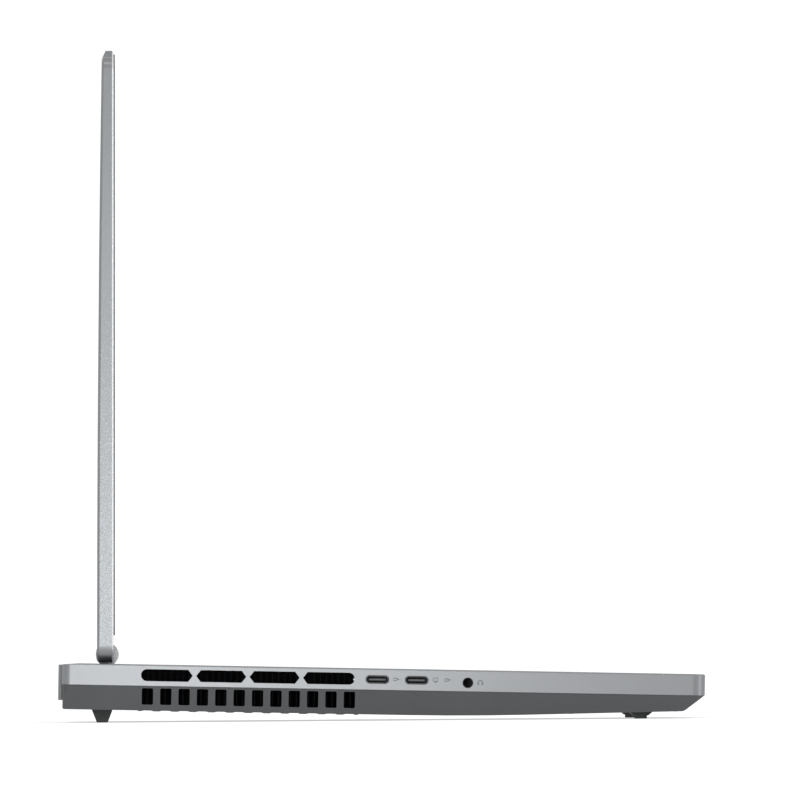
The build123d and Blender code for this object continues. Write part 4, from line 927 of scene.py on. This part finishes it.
class LAPTOP_OT_print_signs(bpy.types.Operator):
    """Print the port signs on the left side and the power sign on its button"""

    bl_idname = "laptop.print_signs"
    bl_label = "Print Signs"

    def execute(self, context):
        width = context.scene.laptop_sizes.line_width
        ink = screen_print("dark_pad_print", linear("#626466"))
        ports = [box_middle("usb_c_sockets", i) for i in range(2)]
        front_port, rear_port = sorted(ports, key=lambda middle: middle.y)
        jack = box_middle("audio_socket", 0)
        signs = [
            (plug_sign(SIGN_SIZE), rear_port.y - PLUG_STEP, rear_port.z),
            (screen_sign(SIGN_SIZE), front_port.y - SCREEN_STEP, front_port.z),
            (plug_sign(SIGN_SIZE), front_port.y - SECOND_PLUG_STEP, front_port.z),
            (headphone_sign(SIGN_SIZE), jack.y - JACK_STEP, jack.z),
        ]
        placed = [(line_mesh(paths, width, side_matrix(y, z)), Matrix()) for paths, y, z in signs]
        marks = mesh_object("port_signs", join_meshes("port_signs", placed), ink)
        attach(marks, "base")
        button_low, button_high = local_box(islands("power_button")[0], deck_matrix)
        middle = (button_low + button_high) / 2
        middle.z = button_high.z
        stroke = [(0, POWER_RING - 0.8 * MM), (0, POWER_RING + 0.5 * MM)]
        ring = [(arc((0, 0), POWER_RING, 125, 415), False), (stroke, False)]
        sign = line_mesh(ring, width, deck_matrix @ Matrix.Translation(middle))
        white = screen_print("white_pad_print", linear("#f2f4f6"))
        mark = mesh_object("power_sign", sign, white)
        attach(mark, "power_button_body")
        return {"FINISHED"}


LENS_RADIUS = 1.4 * MM
LENS_FLATNESS = 0.4
LENS_SINK = 0.7 * MM


class LAPTOP_OT_make_camera_glass(bpy.types.Operator):
    """Set the lens in the camera bump"""

    bl_idname = "laptop.make_camera_glass"
    bl_label = "Make Camera Glass"

    def execute(self, context):
        low, high = local_box(islands("camera_module")[0], lid_matrix)
        work = bmesh.new()
        middle = (0, (low.y + high.y) / 2, LID_FRONT - LENS_SINK)
        flatten = Matrix.Diagonal((1, 1, LENS_FLATNESS, 1))
        place = lid_matrix @ Matrix.Translation(middle) @ flatten
        bmesh.ops.create_uvsphere(work, u_segments=32, v_segments=16, radius=LENS_RADIUS)
        bmesh.ops.transform(work, matrix=place, verts=work.verts)
        mesh = bpy.data.meshes.new("camera_lens")
        work.to_mesh(mesh)
        work.free()
        smooth(mesh, 60)
        lens = mesh_object("camera_lens", mesh, lens_glass())
        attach(lens, "lid")
        return {"FINISHED"}


# Studio

FLOOR_SIZE = 80.0
FLOOR_GAP = 0.05 * MM
FLOOR_GLOW = 0.52
SKY_STRENGTH = 1.06
VIEW_WIDTH = 321.55 * MM
VIEW_CENTRE = Vector((0, -9.7 * MM, 130.1 * MM))
LENS = 1600.0
SENSOR = 36.0
CAMERA_HEIGHT = 26 * MM
CAMERA_ROLL = math.radians(-0.425)


def area_light(name, place, target, size, power):
    """A soft square light aimed at a point, not seen by the camera."""
    data = bpy.data.lights.new(name, "AREA")
    data.size, data.energy = size, power
    light = bpy.data.objects.new(name, data)
    light.location = place
    light.rotation_mode = "QUATERNION"
    light.rotation_quaternion = (Vector(target) - Vector(place)).to_track_quat("-Z", "Y")
    light.visible_camera = False
    bpy.context.scene.collection.objects.link(light)


class LAPTOP_OT_set_stage(bpy.types.Operator):
    """Make the floor, the soft lights and the camera"""

    bl_idname = "laptop.set_stage"
    bl_label = "Set Stage"

    def execute(self, context):
        scene = context.scene
        bpy.ops.mesh.primitive_plane_add(size=FLOOR_SIZE, location=(0, 0, -FLOOR_GAP))
        floor = context.object
        floor.name = "floor"
        # A lit acrylic table: it glows a little, so that the shadow on it stays pale.
        material, tree, shader = new_material("lit_matt_acrylic", Roughness=0.9)
        shader.inputs["Emission Color"].default_value = (1, 1, 1, 1)
        shader.inputs["Emission Strength"].default_value = FLOOR_GLOW
        haze = object_noise(tree, 3 * MM)
        colour = scene.laptop_colours.floor
        tone = ramp(tree, haze, shade(colour, 0.99), colour, 0.3, 0.7)
        tree.links.new(tone, shader.inputs["Base Color"])
        floor.data.materials.append(material)
        scene.world = bpy.data.worlds.new("studio")
        scene.world.use_nodes = True
        background = scene.world.node_tree.nodes["Background"]
        background.inputs["Color"].default_value = (1, 1, 1, 1)
        background.inputs["Strength"].default_value = SKY_STRENGTH
        # Each light's name, place, target, size and power.
        lights = [
            ("corner_light", (SIDE_X - 0.65, 0.09, 0.03), (SIDE_X, 0.09, 0.03), 0.1, 1),
            ("front_light", (-0.68, -1.6, 0.05), (SIDE_X, -0.125, 0.02), 0.5, 4),
            ("top_light", (-0.9, 0.1, 1.2), (SIDE_X, 0.1, 0.25), 0.3, 1),
            ("key_light", (-0.5, -1.2, 1.5), (0, 0, 0.05), 1.2, 3),
            ("rim_light", (0.9, 1.1, 1.0), (0, 0, 0.1), 1.0, 3),
        ]
        for light in lights:
            area_light(*light)
        scene.view_settings.view_transform = "Standard"
        data = bpy.data.cameras.new("camera")
        data.lens, data.sensor_width = LENS, SENSOR
        data.clip_start, data.clip_end = 0.1, 100.0
        camera = bpy.data.objects.new("camera", data)
        distance = VIEW_WIDTH * LENS / SENSOR
        camera.location = (cad_lowest.x - distance, hinge_point.y, CAMERA_HEIGHT)
        aim = (VIEW_CENTRE - camera.location).to_track_quat("-Z", "Y")
        camera.rotation_mode = "QUATERNION"
        camera.rotation_quaternion = aim @ Matrix.Rotation(CAMERA_ROLL, 4, "Z").to_quaternion()
        scene.collection.objects.link(camera)
        scene.camera = camera
        return {"FINISHED"}


class LAPTOP_PT_panel(bpy.types.Panel):
    """Sizes, colours and steps of the laptop"""

    bl_label = "Laptop Computer"
    bl_idname = "LAPTOP_PT_panel"
    bl_space_type = "VIEW_3D"
    bl_region_type = "UI"
    bl_category = "Laptop"

    def draw(self, context):
        layout = self.layout
        for group in (context.scene.laptop_sizes, context.scene.laptop_colours):
            for name in group.__annotations__:
                layout.prop(group, name)
        for operator in OPERATORS:
            layout.operator(operator.bl_idname)


OPERATORS = (
    LAPTOP_OT_finish_frame,
    LAPTOP_OT_make_keys,
    LAPTOP_OT_make_intake_mesh,
    LAPTOP_OT_make_screws,
    LAPTOP_OT_print_signs,
    LAPTOP_OT_make_camera_glass,
    LAPTOP_OT_set_stage,
)
CLASSES = (LaptopSizes, LaptopColours, *OPERATORS, LAPTOP_PT_panel)


def register():
    """Register the classes and the scene's settings."""
    for item in CLASSES:
        bpy.utils.register_class(item)
    bpy.types.Scene.laptop_sizes = PointerProperty(type=LaptopSizes)
    bpy.types.Scene.laptop_colours = PointerProperty(type=LaptopColours)


def unregister():
    """Undo register."""
    del bpy.types.Scene.laptop_colours
    del bpy.types.Scene.laptop_sizes
    for item in reversed(CLASSES):
        bpy.utils.unregister_class(item)


def main():
    """Run every step in order."""
    register()
    bpy.ops.laptop.finish_frame()
    bpy.ops.laptop.make_keys()
    bpy.ops.laptop.make_intake_mesh()
    bpy.ops.laptop.make_screws()
    bpy.ops.laptop.print_signs()
    bpy.ops.laptop.make_camera_glass()
    bpy.ops.laptop.set_stage()


if __name__ == "__main__":
    main()
